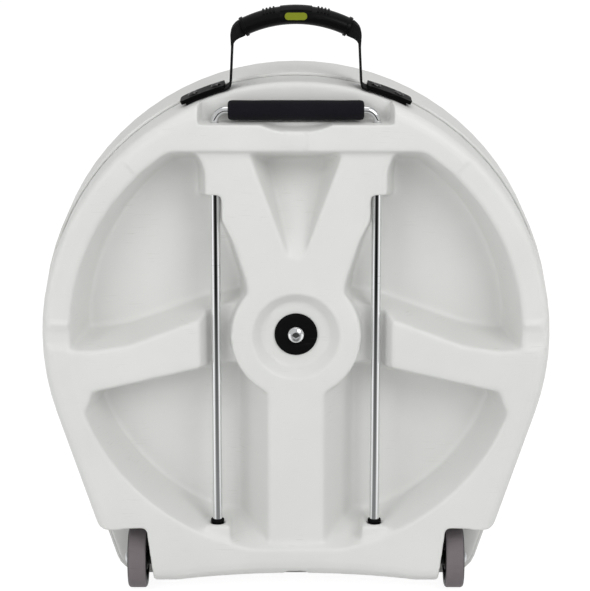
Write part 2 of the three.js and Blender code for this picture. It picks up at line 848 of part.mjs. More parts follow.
function centreBolt() {
  const dome = arc(0, 0, 1, 90, 8, 6).map(({ x, y }) =>
    [boltHeadRadius * x, headDepth - boltHeadHeight * y]);
  return turned([...dome, [boltHeadRadius, headDepth], [boltRadius, headDepth],
    [boltRadius, boltEndDepth], [0, boltEndDepth]], 24)
    .subtract(hexPrism(boltSocket, above, headDepth - boltHeadHeight + boltSocketDepth));
}

const discRing = (inner, outer, depth, thickness, segments = 24) =>
  turned(ringProfile(inner, outer, depth, depth + thickness), segments);

function lockNut() {
  return hexPrism(lockNutWidth, nutDepth, nutDepth + lockNutHeight)
    .subtract(turned(rodProfile(boltBore, 0, far), 24));
}

function wingNut() {
  const hubTop = wingDepth + wingHubHeight;
  const wingTop = hubTop + wingRise;
  const wingRoot = wingHubRadius - 4;
  const hub = turned([[0, wingDepth], [wingHubRadius, wingDepth], [wingHubRadius - 2, hubTop], [0, hubTop]]);
  const wing = [
    point(wingRoot, wingDepth + 1), point(wingSpan - 6, hubTop - 6), point(wingSpan, wingTop - 4),
    point(wingSpan - 3, wingTop), point(wingSpan - 9, wingTop - 1), point(wingRoot, hubTop - 2),
  ];
  const right = upright(wing, -wingThickness / 2, wingThickness / 2);
  const left = upright(mirrored(wing), -wingThickness / 2, wingThickness / 2);
  return joined([hub, right, left]).subtract(turned(rodProfile(boltBore, 0, far), 24));
}

// Pull handle

class QuarterBend extends THREE.Curve {
  constructor(side) {
    super();
    this.side = side;
  }

  getPoint(t, target = new THREE.Vector3()) {
    const angle = (Math.PI / 2) * t;
    const x = this.side * (rodX - rodBend + rodBend * Math.cos(angle));
    return target.set(x, rodDepth, gripZ - rodBend + rodBend * Math.sin(angle));
  }
}

const circleOutline = (radius, segments) => new THREE.Shape(arc(0, 0, radius, 0, 360, segments).slice(1));
const rodEndZ = tubeBottomZ + rodEndAboveTube + rodEndLength;

function pullHandleRod() {
  const barEnd = rodX - rodBend + gap;
  const bar = turnedAlongX(rodProfile(rodRadius, -barEnd, barEnd), rodDepth, gripZ, 16);
  const sides = [-1, 1].flatMap((side) => [
    turnedAlongZ(rodProfile(rodRadius, rodEndZ, gripZ - rodBend + gap), side * rodX, rodDepth, 16),
    toSolid(new THREE.ExtrudeGeometry(circleOutline(rodRadius, 16), {
      steps: 6,
      bevelEnabled: false,
      extrudePath: new QuarterBend(side),
    })),
  ]);
  return joined([bar, ...sides]);
}

function pullHandleGrip() {
  const half = gripLength / 2;
  const bore = rodRadius + gap;
  const end = arc(gripRadius - gripEdge, half - gripEdge, gripEdge, 0, 90, 3).map(({ x, y }) => [x, y]);
  const start = end.map(([radius, along]) => [radius, -along]).reverse();
  return turnedAlongX([[bore, -half], ...start, ...end, [bore, half], [bore, -half]], rodDepth, gripZ, 20);
}

function guideTube() {
  return turnedAlongZ(ringProfile(tubeRadius - tubeWall, tubeRadius, tubeBottomZ, tubeTopZ), 0, 0, 18);
}

function tubeSocket() {
  const bore = tubeRadius + gap;
  const body = tubeRadius + socketWall + gap;
  const flange = tubeRadius + socketFlange;
  const seat = socketPadZ + gap;
  const rim = seat + socketFlangeHeight;
  return turnedAlongZ([
    [0, socketBottomZ], [body, socketBottomZ], [body, seat], [flange, seat], [flange, rim - 1],
    [flange - 1, rim], [bore, rim], [bore, socketBottomZ + socketBase], [0, socketBottomZ + socketBase],
  ], 0, 0, 18);
}

function rodEndGuide() {
  const low = tubeBottomZ + rodEndAboveTube - gap;
  return turnedAlongZ(rodProfile(tubeRadius - tubeWall - gap, low, low + rodEndLength), 0, 0, 16);
}

// Wheels, with their axle along the depth axis and their outer face towards +depth

const bearingFace = wheelWidth / 2 - 0.7;
const bearingSeat = bearingFace - bearingWidth;
const axleBore = axleRadius + gap;

function tyre() {
  const half = wheelWidth / 2;
  const outer = arc(wheelRadius - treadShoulder, half - treadShoulder, treadShoulder, 90, 0, 3)
    .map(({ x, y }) => [x, y]);
  const inner = outer.map(([radius, along]) => [radius, -along]).reverse();
  const seat = hubRadius + gap;
  return turned([[seat, -half + 1], [seat, half - 1], ...outer, ...inner, [seat, -half + 1]], 28);
}

function wheelHub() {
  const seat = bearingRadius + gap;
  const step = bearingSeat - gap;
  const face = bearingFace + 0.2;
  const rim = wheelWidth / 2 - 0.8;
  const web = wheelWidth / 4;
  const side = [
    [seat - 2.3, step], [seat, step], [seat, face], [seat + 4, face], [seat + 6, web],
    [hubRadius - 3, web], [hubRadius - 2.5, rim], [hubRadius, rim],
  ];
  const back = side.map(([radius, along]) => [radius, -along]).reverse();
  return turned([...side, ...back, side[0]], 20);
}

function wheelBearing() {
  return turned(ringProfile(axleBore, bearingRadius, bearingSeat, bearingFace), 16);
}

function bearingSpacer() {
  return turned(ringProfile(axleBore, axleRadius + 2, gap - bearingSeat, bearingSeat - gap), 12);
}

const spacerEnd = wellWallX(wheelZ + axleSpacerRadius) + gap - wheelX;
const nutFace = wellWallX(wheelZ - axleNutRadius) - baseWall - 2 * gap - wheelX;

function axleBolt() {
  const seat = bearingFace + gap;
  const head = arc(0, 0, 1, 90, 15, 5).map(({ x, y }) => [axleHeadRadius * x, seat + axleHeadHeight * y]);
  const end = nutFace - axleNutHeight - axleThread;
  return turned([...head, [axleHeadRadius, seat], [axleRadius, seat], [axleRadius, end], [0, end]], 14)
    .subtract(hexPrism(axleRadius + 1, seat + axleHeadHeight / 2, far));
}

function axleSpacer() {
  return turned(ringProfile(axleBore, axleSpacerRadius, spacerEnd, -bearingFace - gap), 16);
}

function axleNut() {
  return hexPrism(axleNutRadius * Math.sqrt(3), nutFace - axleNutHeight, nutFace)
    .subtract(turned(rodProfile(axleBore, -far, far), 14));
}

// Carry handle

const carryCentreZ = carryTopZ - carryArcRadius;
const carryHalfAngle = THREE.MathUtils.radToDeg(Math.asin(carryGripHalfLength / carryArcRadius));
const plateOuterAngle = angleAt(plateInnerX + plateLength);
const webbingRadius = caseRadius + gap + webbingThickness / 2;

// The bend from the end of the grip down to the right leg, from a given angle on.
function carryBendLine(start) {
  const slope = radians(carryHalfAngle);
  const drop = carryArcRadius - carryBend;
  const centre = point(drop * Math.sin(slope), carryCentreZ + drop * Math.cos(slope));
  return arc(centre.x, centre.y, carryBend, start, 0, foldThickness.length - 1);
}

// The right leg, down to the shell and outwards along it under the end plate.
function carryLegLine(legTop) {
  const foot = arc(0, 0, webbingRadius, 90 - plateInnerAngle, 90 - plateOuterAngle + 1, 6);
  return [
    point(legTop.x, legTop.y + webbingThickness),
    point(carryLegX, foot[0].y + webbingThickness),
    ...foot,
  ];
}

// One strip of webbing. It runs flat through the grip, is bunched where it leaves it, and is wide in the legs.
function carryWebbing() {
  const gripEnd = 90 - carryHalfAngle;
  const arch = arc(0, carryCentreZ, carryArcRadius, 180 - gripEnd, gripEnd, 16);
  const core = slab(stripOutline(arch, webbingThickness),
    webbingDepth - foldedWidth / 2, webbingDepth + foldedWidth / 2);
  const fold = stripOutline(carryBendLine(gripEnd - foldStart), foldThickness);
  const neck = stripOutline(carryBendLine(gripEnd + foldStart), webbingThickness);
  const folds = [fold, neck, mirrored(fold), mirrored(neck)].map((outline) =>
    slab(outline, webbingDepth - foldedWidth / 2, webbingDepth + foldedWidth / 2));
  const leg = stripOutline(carryLegLine(carryBendLine(gripEnd).at(-1)), webbingThickness);
  const legs = [leg, mirrored(leg)].map((outline) =>
    slab(outline, webbingDepth - webbingWidth / 2, webbingDepth + webbingWidth / 2));
  return joined([core, ...folds, ...legs]).subtract(carryRivetHoles());
}

function carryGrip() {
  const stations = 10;
  const sides = 14;
  const spots = [];
  const faces = [];
  for (let station = 0; station <= stations; station += 1) {
    const share = (2 * station) / stations - 1;
    const angle = radians(90 - share * carryHalfAngle);
    const full = 1 - carryGripTaper * share * share;
    for (let side = 0; side < sides; side += 1) {
      const turn = (2 * Math.PI * side) / sides;
      const radius = carryArcRadius + (full * carryGripThickness * Math.sin(turn)) / 2;
      spots.push(radius * Math.cos(angle), webbingDepth + (full * carryGripWidth * Math.cos(turn)) / 2,
        carryCentreZ + radius * Math.sin(angle));
    }
  }
  for (let station = 0; station < stations; station += 1) {
    for (let side = 0; side < sides; side += 1) {
      const a = station * sides + side;
      const b = station * sides + ((side + 1) % sides);
      faces.push(a, b, b + sides, a, b + sides, a + sides);
    }
  }
  for (let side = 1; side < sides - 1; side += 1) {
    const end = stations * sides;
    faces.push(0, side + 1, side, end, end + side, end + side + 1);
  }
  const geometry = new THREE.BufferGeometry();
  geometry.setAttribute('position', new THREE.Float32BufferAttribute(spots, 3));
  geometry.setIndex(faces);
  const line = arc(0, carryCentreZ, carryArcRadius, 88 - carryHalfAngle, 92 + carryHalfAngle, 18);
  const half = foldedWidth / 2 + gap;
  const slot = slab(stripOutline(line, webbingThickness + 2 * gap), webbingDepth - half, webbingDepth + half);
  const pocket = box(-badgeLength / 2 - gap, badgeLength / 2 + gap, webbingDepth - carryGripWidth,
    badgeFace + badgeThickness + gap, carryTopZ - badgeHeight / 2 - gap, carryTopZ + badgeHeight / 2 + gap);
  return cutAway(toSolid(geometry), [slot, pocket]);
}

const badgeFace = webbingDepth - carryGripWidth / 2 + 0.4;

function gripBadge() {
  return box(-badgeLength / 2, badgeLength / 2, badgeFace, badgeFace + badgeThickness,
    carryTopZ - badgeHeight / 2, carryTopZ + badgeHeight / 2);
}

const plateBase = caseRadius + webbingThickness + 2 * gap;

// A plate that follows the round wall, with the corners of its outer end rounded.
function endPlate(side) {
  const ring = (inset, depth) => {
    const end = angleAt(plateInnerX + plateLength - inset);
    const line = arc(0, 0, plateBase + plateThickness / 2, 90 - plateInnerAngle - 1, 90 - end, 6);
    const outline = stripOutline(line, plateThickness);
    return { depth, outline: side > 0 ? outline : mirrored(outline) };
  };
  const [back, front] = [webbingDepth - plateWidth / 2, webbingDepth + plateWidth / 2];
  const corner = edgeRings(plateCorner, 0);
  return loft([
    ...corner.map(({ depth, inset }) => ring(inset, back + depth)),
    ...corner.reverse().map(({ depth, inset }) => ring(inset, front - depth)),
  ]);
}

// A domed rivet. Its head sits at one height and its tail under another, both measured along its axis.
function rivet(headBase, tailTop) {
  return turnedGeometry([
    [0, tailTop - rivetTailHeight], [rivetTail, tailTop - rivetTailHeight], [rivetTail, tailTop],
    [rivetShank, tailTop], [rivetShank, headBase], [rivetHead, headBase],
    [rivetHead * 0.8, headBase + rivetDome * 0.7], [rivetHead * 0.4, headBase + rivetDome * 0.95],
    [0, headBase + rivetDome],
  ], 10);
}

// Side closures, drawn for the right side, with outlines in x and depth

const strapX = channelFloorX + gap + closureStrapThickness / 2;
const lidStrapX = lidChannelFloorX + gap + closureStrapThickness / 2;
const buckleX = lidChannelFloorX + gap;
const buckleTopX = buckleX + buckleThickness;
const buckleMidX = buckleX + buckleThickness / 2;

// A strap from its rivet to a bar of the buckle, round the bar and back over itself.
function strap(startX, rivetDepth, barDepth) {
  const ahead = Math.sign(barDepth - rivetDepth);
  const away = barThickness / 2 + gap + closureStrapThickness / 2;
  const beyond = barDepth + ahead * (barWidth / 2 + gap + closureStrapThickness / 2);
  const before = (distance) => barDepth - ahead * distance;
  const outline = stripOutline([
    point(startX, rivetDepth - ahead * strapEndMargin), point(startX, before(14)),
    point(buckleMidX - away, before(4)), point(buckleMidX - away, beyond), point(buckleMidX + away, beyond),
    point(buckleMidX + away, before(4)), point(buckleMidX + away - 2, before(12)),
  ], closureStrapThickness);
  return upright(outline, -closureStrapWidth / 2, closureStrapWidth / 2).subtract(sideRivetHoles(rivetDepth));
}

const baseBarDepth = prongStart + barWidth / 2;
const lidBarDepth = socketStart + socketLength - barWidth / 2;

const bucklePlate = (from, to) => box(buckleX, buckleTopX, from, to, -buckleHalfWidth, buckleHalfWidth);

// The open end of a buckle half, with its bar across.
function barEnd(plate, barDepth) {
  const half = closureStrapWidth / 2 + 1;
  const opening = slotLength + barWidth / 2;
  return plate
    .subtract(box(buckleX - 1, buckleTopX + 1, barDepth - opening, barDepth + opening, -half, half))
    .add(box(buckleMidX - barThickness / 2, buckleMidX + barThickness / 2,
      barDepth - barWidth / 2, barDepth + barWidth / 2, -half - 1, half + 1));
}

function buckleProngs() {
  const plateEnd = socketStart - gap;
  const inset = buckleWall + gap;
  const tongue = (z0, z1, from, to) => box(buckleX + inset, buckleTopX - inset, from, to, z0, z1);
  const prongs = [-1, 1].flatMap((side) => {
    const [near, out, barb] = [prongInner, prongOuter, barbOuter].map((z) => side * z);
    return [
      tongue(Math.min(near, out), Math.max(near, out), plateEnd - 1, socketStart + prongLength),
      tongue(Math.min(near, barb), Math.max(near, barb), socketStart + barbStart, socketStart + prongLength),
    ];
  });
  return joined([
    barEnd(bucklePlate(prongStart, plateEnd), baseBarDepth),
    tongue(-2.5, 2.5, plateEnd - 1, socketStart + prongLength + 3),
    ...prongs,
  ]);
}

function buckleSocket() {
  const cavityEnd = socketStart + prongLength + 5;
  const half = barbOuter + gap;
  const cavity = box(buckleX + buckleWall, buckleTopX - buckleWall, socketStart - 1, cavityEnd, -half, half);
  const windowStart = socketStart + barbStart - 1;
  const windows = box(buckleX + buckleWall, buckleTopX - buckleWall, windowStart, windowStart + windowLength,
    -buckleHalfWidth - 1, buckleHalfWidth + 1);
  const body = barEnd(bucklePlate(socketStart, socketStart + socketLength), lidBarDepth);
  return cutAway(body, [cavity, windows]);
}

// Assembly

function place(parent, name, shape, look, position = [0, 0, 0], rotation = [0, 0, 0]) {
  const geometry = shape.isBufferGeometry ? toGeometry(toSolid(shape)) : toGeometry(shape);
  const mesh = new THREE.Mesh(geometry, new THREE.MeshStandardMaterial(look));
  mesh.name = name;
  mesh.position.set(...position);
  mesh.rotation.set(...rotation);
  parent.add(mesh);
  return mesh;
}

function group(parent, position = [0, 0, 0], rotation = [0, 0, 0]) {
  const made = new THREE.Group();
  made.position.set(...position);
  made.rotation.set(...rotation);
  parent.add(made);
  return made;
}

const part = new THREE.Group();
const shellAxis = group(part, [0, -caseDepth / 2, centreHeight]);

place(shellAxis, 'base_shell', baseShell(), white);
place(shellAxis, 'lid_shell', lidShell(), white);
place(shellAxis, 'base_floor_pad', baseFloorPad(), foam);
place(shellAxis, 'lid_pad', lidPad(), foam);

place(shellAxis, 'centre_bolt', centreBolt(), chrome);
place(shellAxis, 'outer_washer', discRing(boltBore, outerWasherRadius, washerDepth, outerWasherThickness), rubber);
place(shellAxis, 'inner_washer', discRing(boltBore, innerWasherRadius, insideDepth, innerWasherThickness), steel);
place(shellAxis, 'bolt_lock_nut', lockNut(), steel);
place(shellAxis, 'support_sleeve',
  discRing(boltBore, sleeveRadius, sleeveDepth, lowerCushionDepth - gap - sleeveDepth, 24), black);
place(shellAxis, 'lower_cushion', discRing(boltBore, cushionRadius, lowerCushionDepth, cushionThickness), feltGrey);
place(shellAxis, 'upper_cushion', discRing(boltBore, cushionRadius, upperCushionDepth, cushionThickness), feltGrey);
place(shellAxis, 'clamp_washer',
  discRing(boltBore, clampWasherRadius, clampWasherDepth, clampWasherThickness), steel);
place(shellAxis, 'wing_nut', wingNut(), chrome);

place(shellAxis, 'pull_handle_rod', pullHandleRod(), chrome);
place(shellAxis, 'pull_handle_grip', pullHandleGrip(), foam);

place(shellAxis, 'carry_webbing', carryWebbing(), black);
place(shellAxis, 'carry_grip', carryGrip(), rubber);
place(shellAxis, 'carry_grip_badge', gripBadge(), badgePaint);

for (const [sideName, side] of [['left', -1], ['right', 1]]) {
  place(shellAxis, `guide_tube_${sideName}`, guideTube(), chrome, [side * rodX, rodDepth, 0]);
  place(shellAxis, `tube_socket_${sideName}`, tubeSocket(), rubber, [side * rodX, rodDepth, 0]);
  place(shellAxis, `rod_end_guide_${sideName}`, rodEndGuide(), black, [side * rodX, rodDepth, 0]);

  const wheel = group(shellAxis, [side * wheelX, wheelDepth, wheelZ], [0, 0, (-side * Math.PI) / 2]);
  place(wheel, `wheel_tyre_${sideName}`, tyre(), greyTyre);
  place(wheel, `wheel_hub_${sideName}`, wheelHub(), black);
  place(wheel, `outer_bearing_${sideName}`, wheelBearing(), steel);
  place(wheel, `inner_bearing_${sideName}`, wheelBearing(), steel, [0, 0, 0], [0, 0, Math.PI]);
  place(wheel, `bearing_spacer_${sideName}`, bearingSpacer(), steel);
  place(wheel, `axle_bolt_${sideName}`, axleBolt(), steel);
  place(wheel, `axle_spacer_${sideName}`, axleSpacer(), black);
  place(wheel, `axle_nut_${sideName}`, axleNut(), steel);

  const plate = endPlate(side);
  place(shellAxis, `carry_end_plate_${sideName}`, plate.subtract(carryRivetHoles()), black);
  rivetAngles.forEach((angle, index) => {
    const headBase = plateBase + plateThickness + gap;
    const stud = rivet(headBase, caseRadius - baseWall - gap).rotateX(Math.PI / 2);
    const turn = [0, radians(side * angle), 0];
    place(shellAxis, `carry_rivet_${sideName}_${index + 1}`, stud, steel, [0, webbingDepth, 0], turn);
  });

  const closure = group(shellAxis, [0, 0, 0], [0, side > 0 ? 0 : Math.PI, 0]);
  place(closure, `base_strap_${sideName}`, strap(strapX, baseRivetDepth, baseBarDepth), black);
  place(closure, `lid_strap_${sideName}`, strap(lidStrapX, lidRivetDepth, lidBarDepth), black);
  place(closure, `buckle_prongs_${sideName}`, buckleProngs(), black);
  place(closure, `buckle_socket_${sideName}`, buckleSocket(), black);
  const baseStud = rivet(strapX + closureStrapThickness / 2 + gap, channelFloorX - baseWall - gap);
  const lidStud = rivet(lidStrapX + closureStrapThickness / 2 + gap, lidChannelFloorX - lidWall - gap);
  place(closure, `base_strap_rivet_${sideName}`, baseStud, steel, [0, baseRivetDepth, 0], [0, 0, -Math.PI / 2]);
  place(closure, `lid_strap_rivet_${sideName}`, lidStud, steel, [0, lidRivetDepth, 0], [0, 0, -Math.PI / 2]);
}

export default part;
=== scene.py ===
import math

import bmesh
import bpy
from mathutils import Matrix, Vector


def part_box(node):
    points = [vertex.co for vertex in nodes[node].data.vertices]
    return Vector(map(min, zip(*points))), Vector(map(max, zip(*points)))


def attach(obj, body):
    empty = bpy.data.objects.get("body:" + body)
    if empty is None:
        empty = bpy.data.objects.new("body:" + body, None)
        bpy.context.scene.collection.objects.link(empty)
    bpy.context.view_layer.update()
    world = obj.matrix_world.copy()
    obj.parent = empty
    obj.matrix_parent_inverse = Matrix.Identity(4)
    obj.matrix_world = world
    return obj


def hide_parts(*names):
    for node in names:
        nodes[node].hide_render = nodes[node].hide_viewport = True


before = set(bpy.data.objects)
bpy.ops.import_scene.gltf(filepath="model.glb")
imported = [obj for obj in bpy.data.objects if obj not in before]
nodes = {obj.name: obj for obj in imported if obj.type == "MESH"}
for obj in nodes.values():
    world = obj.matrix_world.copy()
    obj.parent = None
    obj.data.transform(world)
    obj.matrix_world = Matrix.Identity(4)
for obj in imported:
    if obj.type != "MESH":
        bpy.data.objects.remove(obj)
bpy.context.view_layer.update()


# Studio: a pale floor that runs out of the picture, soft lamps to both sides and above, and the camera where
# the photographer stood, a little above the case and 3 m behind it. On the floor lies a card that shows in
# reflections alone: black in the middle and far off, greyer near the case and to the sides.

CENTRE_HEIGHT = 0.334
BACK_RIM = -0.1
CAMERA_DISTANCE = 3.0
CAMERA_ELEVATION = 15.0
PHOTO_WIDTH = 590
PHOTO_HEIGHT = 591
FOCAL_PIXELS = 2459
AIM_PIXEL = (296, 339)
SENSOR = 36.0
WHITE = (1, 1, 1, 1)


def deselect_all():
    bpy.ops.object.select_all(action="DESELECT")


def make_active(piece):
    deselect_all()
    piece.select_set(True)
    bpy.context.view_layer.objects.active = piece


def add_node(tree, kind, **values):
    made = tree.nodes.new(kind)
    for socket, value in values.items():
        made.inputs[socket.replace("_", " ")].default_value = value
    return made


def empty_tree(owner):
    owner.use_nodes = True
    owner.node_tree.nodes.clear()
    return owner.node_tree


camera_data = bpy.data.cameras.new("photo_camera")
camera_data.sensor_fit = "HORIZONTAL"
camera_data.sensor_width = SENSOR
camera_data.lens = FOCAL_PIXELS * SENSOR / PHOTO_WIDTH
camera = bpy.data.objects.new("photo_camera", camera_data)
bpy.context.scene.collection.objects.link(camera)
elevation = math.radians(CAMERA_ELEVATION)
camera.location = (
    0,
    BACK_RIM - CAMERA_DISTANCE * math.cos(elevation),
    CENTRE_HEIGHT + CAMERA_DISTANCE * math.sin(elevation),
)
tilt_up = math.atan((AIM_PIXEL[1] - PHOTO_HEIGHT / 2) / FOCAL_PIXELS)
turn_left = math.atan((AIM_PIXEL[0] - PHOTO_WIDTH / 2) / FOCAL_PIXELS)
camera.rotation_euler = (math.pi / 2 - elevation + tilt_up, 0, turn_left)
bpy.context.scene.camera = camera

FLOOR_SPAN = 40
FLOOR_HEIGHT = -0.0005
FLOOR_SHADE = (0.8, 0.8, 0.8, 1)
FLOOR_SEEN_SHADE = (0.22, 0.22, 0.22, 1)
FLOOR_SEEN_GLOW = 0.93
deselect_all()
bpy.ops.mesh.primitive_plane_add(size=FLOOR_SPAN, location=(0, 0, FLOOR_HEIGHT))
floor = bpy.context.active_object
floor.name = "studio_floor"

floor_paint = bpy.data.materials.new("studio_floor")
tree = empty_tree(floor_paint)
output = add_node(tree, "ShaderNodeOutputMaterial")
lit = add_node(tree, "ShaderNodeBsdfDiffuse", Color=FLOOR_SHADE)
dim = add_node(tree, "ShaderNodeBsdfDiffuse", Color=FLOOR_SEEN_SHADE)
glow = add_node(tree, "ShaderNodeEmission", Strength=FLOOR_SEEN_GLOW)
both = add_node(tree, "ShaderNodeAddShader")
path = add_node(tree, "ShaderNodeLightPath")
seen = add_node(tree, "ShaderNodeMath")
seen.operation = "MAXIMUM"
mix = add_node(tree, "ShaderNodeMixShader")
tree.links.new(dim.outputs[0], both.inputs[0])
tree.links.new(glow.outputs[0], both.inputs[1])
tree.links.new(path.outputs["Is Camera Ray"], seen.inputs[0])
tree.links.new(path.outputs["Is Glossy Ray"], seen.inputs[1])
tree.links.new(seen.outputs[0], mix.inputs[0])
tree.links.new(lit.outputs[0], mix.inputs[1])
tree.links.new(both.outputs[0], mix.inputs[2])
tree.links.new(mix.outputs[0], output.inputs["Surface"])
floor.data.materials.append(floor_paint)

CARD_NEAR = -0.14
CARD_FAR = -8.0
CARD_SPREAD = 1.3
CARD_HEIGHT = 0.0005
CARD_BLACK = 0.01
CARD_GREY = 0.62
CARD_CORE = 0.42
CARD_EDGE = 1.15
CARD_FRONT = (0.45, 1.6)
CARD_FRONT_GLOW = 0.22
deselect_all()
bpy.ops.mesh.primitive_plane_add(size=1, location=(0, 0, 0))
card = bpy.context.active_object
card.name = "black_card"
for corner in card.data.vertices:
    reach = CARD_NEAR if corner.co.y > 0 else CARD_FAR
    corner.co = (math.copysign(CARD_SPREAD * -reach, corner.co.x), reach, CARD_HEIGHT)
card_paint = bpy.data.materials.new("black_card")
tree = empty_tree(card_paint)
output = add_node(tree, "ShaderNodeOutputMaterial")
place = add_node(tree, "ShaderNodeTexCoord")
split = add_node(tree, "ShaderNodeSeparateXYZ")
aside = add_node(tree, "ShaderNodeMath")
aside.operation = "DIVIDE"
width = add_node(tree, "ShaderNodeMath")
width.operation = "ABSOLUTE"
fade = add_node(
    tree, "ShaderNodeMapRange", From_Min=CARD_CORE, From_Max=CARD_EDGE, To_Min=CARD_BLACK, To_Max=CARD_GREY)
paint = add_node(tree, "ShaderNodeEmission")
tree.links.new(place.outputs["Object"], split.inputs[0])
tree.links.new(split.outputs["X"], aside.inputs[0])
tree.links.new(split.outputs["Y"], aside.inputs[1])
tree.links.new(aside.outputs[0], width.inputs[0])
tree.links.new(width.outputs[0], fade.inputs["Value"])
away = add_node(tree, "ShaderNodeMath")
away.operation = "ABSOLUTE"
near = add_node(
    tree, "ShaderNodeMapRange",
    From_Min=CARD_FRONT[0], From_Max=CARD_FRONT[1], To_Min=CARD_FRONT_GLOW, To_Max=0)
total = add_node(tree, "ShaderNodeMath")
total.operation = "ADD"
tree.links.new(split.outputs["Y"], away.inputs[0])
tree.links.new(away.outputs[0], near.inputs["Value"])
tree.links.new(fade.outputs[0], total.inputs[0])
tree.links.new(near.outputs[0], total.inputs[1])
tree.links.new(total.outputs[0], paint.inputs["Strength"])
tree.links.new(paint.outputs[0], output.inputs["Surface"])
card.data.materials.append(card_paint)
card.visible_camera = False
card.visible_diffuse = False
card.visible_shadow = False

AMBIENT = 0.58
world = bpy.data.worlds.new("studio")
bpy.context.scene.world = world
tree = empty_tree(world)
output = add_node(tree, "ShaderNodeOutputWorld")
ambient = add_node(tree, "ShaderNodeBackground", Color=WHITE, Strength=AMBIENT)
backdrop = add_node(tree, "ShaderNodeBackground", Color=WHITE, Strength=1.0)
path = add_node(tree, "ShaderNodeLightPath")
mix = add_node(tree, "ShaderNodeMixShader")
tree.links.new(path.outputs["Is Camera Ray"], mix.inputs[0])
tree.links.new(ambient.outputs[0], mix.inputs[1])
tree.links.new(backdrop.outputs[0], mix.inputs[2])
tree.links.new(mix.outputs[0], output.inputs["Surface"])


def soft_lamp(name, place, aim, size, power):
    lamp_data = bpy.data.lights.new(name, "AREA")
    lamp_data.shape = "DISK"
    lamp_data.size = size
    lamp_data.energy = power
    lamp = bpy.data.objects.new(name, lamp_data)
    bpy.context.scene.collection.objects.link(lamp)
    lamp.location = place
    lamp.rotation_euler = (Vector(aim) - Vector(place)).to_track_quat("-Z", "Y").to_euler()
    return lamp


soft_lamp("key_lamp", place=(1.9, -2.6, 2.4), aim=(0, -0.1, 0.3), size=2.2, power=46)
fill_lamp = soft_lamp("fill_lamp", place=(-2.2, -2.6, 1.4), aim=(0, 0, 0.35), size=2.4, power=30)
fill_lamp.visible_glossy = False
soft_lamp("top_lamp", place=(0, 0.2, 2.8), aim=(0, 0, 0.3), size=2.0, power=10)

bpy.context.scene.view_settings.view_transform = "Standard"


# Shells: the two halves are moulded from white polyethylene, so every edge is soft, most of all in the
# recess, and the skin has a fine grain, faint mottling and scuffs. The base carries the recess with its ribs,
# the wheel wells and the handle notch; the lid is plain, and its edge closes on the base's wall.

SHELL_VOXEL = 0.002
LID_VOXEL = 0.0016
LID_SOFTENING = 2
SOFTENING = 9
HOLLOW_SOFTENING = 26
HOLLOW_EDGE = 0.287
HOLLOW_TOP = 0.590
HOLLOW_FRONT = -0.020
BOSS_KEPT = 0.062
HOLLOW_FADE = 0.012
LID_EDGE_BAND = 0.008
LID_EDGE_LAP = 0.0003
LID_LIP_GROWTH = 0.0010
INWARD = -0.3
MOST_FACES = 185000
SMOOTHING = 0.5
MERGE_DISTANCE = 0.00001


def new_group(name, inputs, outputs):
    made = bpy.data.node_groups.new(name, "ShaderNodeTree")
    for socket, kind, start in inputs:
        item = made.interface.new_socket(name=socket, in_out="INPUT", socket_type=kind)
        if start is not None:
            item.default_value = start
    for socket in outputs:
        made.interface.new_socket(name=socket, in_out="OUTPUT", socket_type="NodeSocketFloat")
    ends = made.nodes.new("NodeGroupInput"), made.nodes.new("NodeGroupOutput")
    return made, *ends


def worked_out(tree, operation, *terms, clamp=False):
    made = tree.nodes.new("ShaderNodeMath")
    made.operation = operation
    made.use_clamp = clamp
    for socket, term in zip(made.inputs, terms):
        if isinstance(term, bpy.types.NodeSocket):
            tree.links.new(term, socket)
        else:
            socket.default_value = term
    return made.outputs[0]


def noise(tree, place, scale, detail=2.0, roughness=0.5):
    made = add_node(tree, "ShaderNodeTexNoise", Detail=detail, Roughness=roughness)
    tree.links.new(place, made.inputs["Vector"])
    if isinstance(scale, bpy.types.NodeSocket):
        tree.links.new(scale, made.inputs["Scale"])
    else:
        made.inputs["Scale"].default_value = scale
    return made.outputs["Fac"]


# Skin of a moulded piece: a fine grain, broad mottling, and scuffs that gather in patches.
SCRATCH_STRETCH = (14, 14, 260)
SCUFF_PATCHES = (0.5, 5.0)
SCUFF_STREAKS = (0.6, 9.0)


def above(tree, value, start, climb):
    """Zero up to the start, and from there a climb to one."""
    past = worked_out(tree, "SUBTRACT", value, start)
    return worked_out(tree, "MULTIPLY", past, climb, clamp=True)


moulded_skin, given, made = new_group(
    "moulded_skin",
    [("Place", "NodeSocketVector", None), ("Grain Scale", "NodeSocketFloat", 900.0)],
    ["Grain", "Mottle", "Scuff"],
)
place = given.outputs["Place"]
grain = noise(moulded_skin, place, given.outputs["Grain Scale"], 3.0, 0.6)
mottle = noise(moulded_skin, place, 9.0, 4.0, 0.55)
patches = noise(moulded_skin, place, 21.0, 2.0)
turn = add_node(moulded_skin, "ShaderNodeMapping", Rotation=(0.4, 0.7, 0.3), Scale=SCRATCH_STRETCH)
moulded_skin.links.new(place, turn.inputs["Vector"])
streaks = noise(moulded_skin, turn.outputs[0], 3.0, 3.0)
gathered = above(moulded_skin, patches, *SCUFF_PATCHES)
scratches = above(moulded_skin, streaks, *SCUFF_STREAKS)
scuff = worked_out(moulded_skin, "MULTIPLY", gathered, scratches)
moulded_skin.links.new(grain, made.inputs["Grain"])
moulded_skin.links.new(mottle, made.inputs["Mottle"])
moulded_skin.links.new(scuff, made.inputs["Scuff"])


def blended(tree, share, first, second):
    made = tree.nodes.new("ShaderNodeMix")
    made.data_type = "RGBA"
    tree.links.new(share, made.inputs["Factor"])
    for socket, colour in (("A", first), ("B", second)):
        entry = next(each for each in made.inputs if each.name == socket and each.type == "RGBA")
        if isinstance(colour, bpy.types.NodeSocket):
            tree.links.new(colour, entry)
        else:
            entry.default_value = (*colour, 1)
    return next(each for each in made.outputs if each.type == "RGBA")


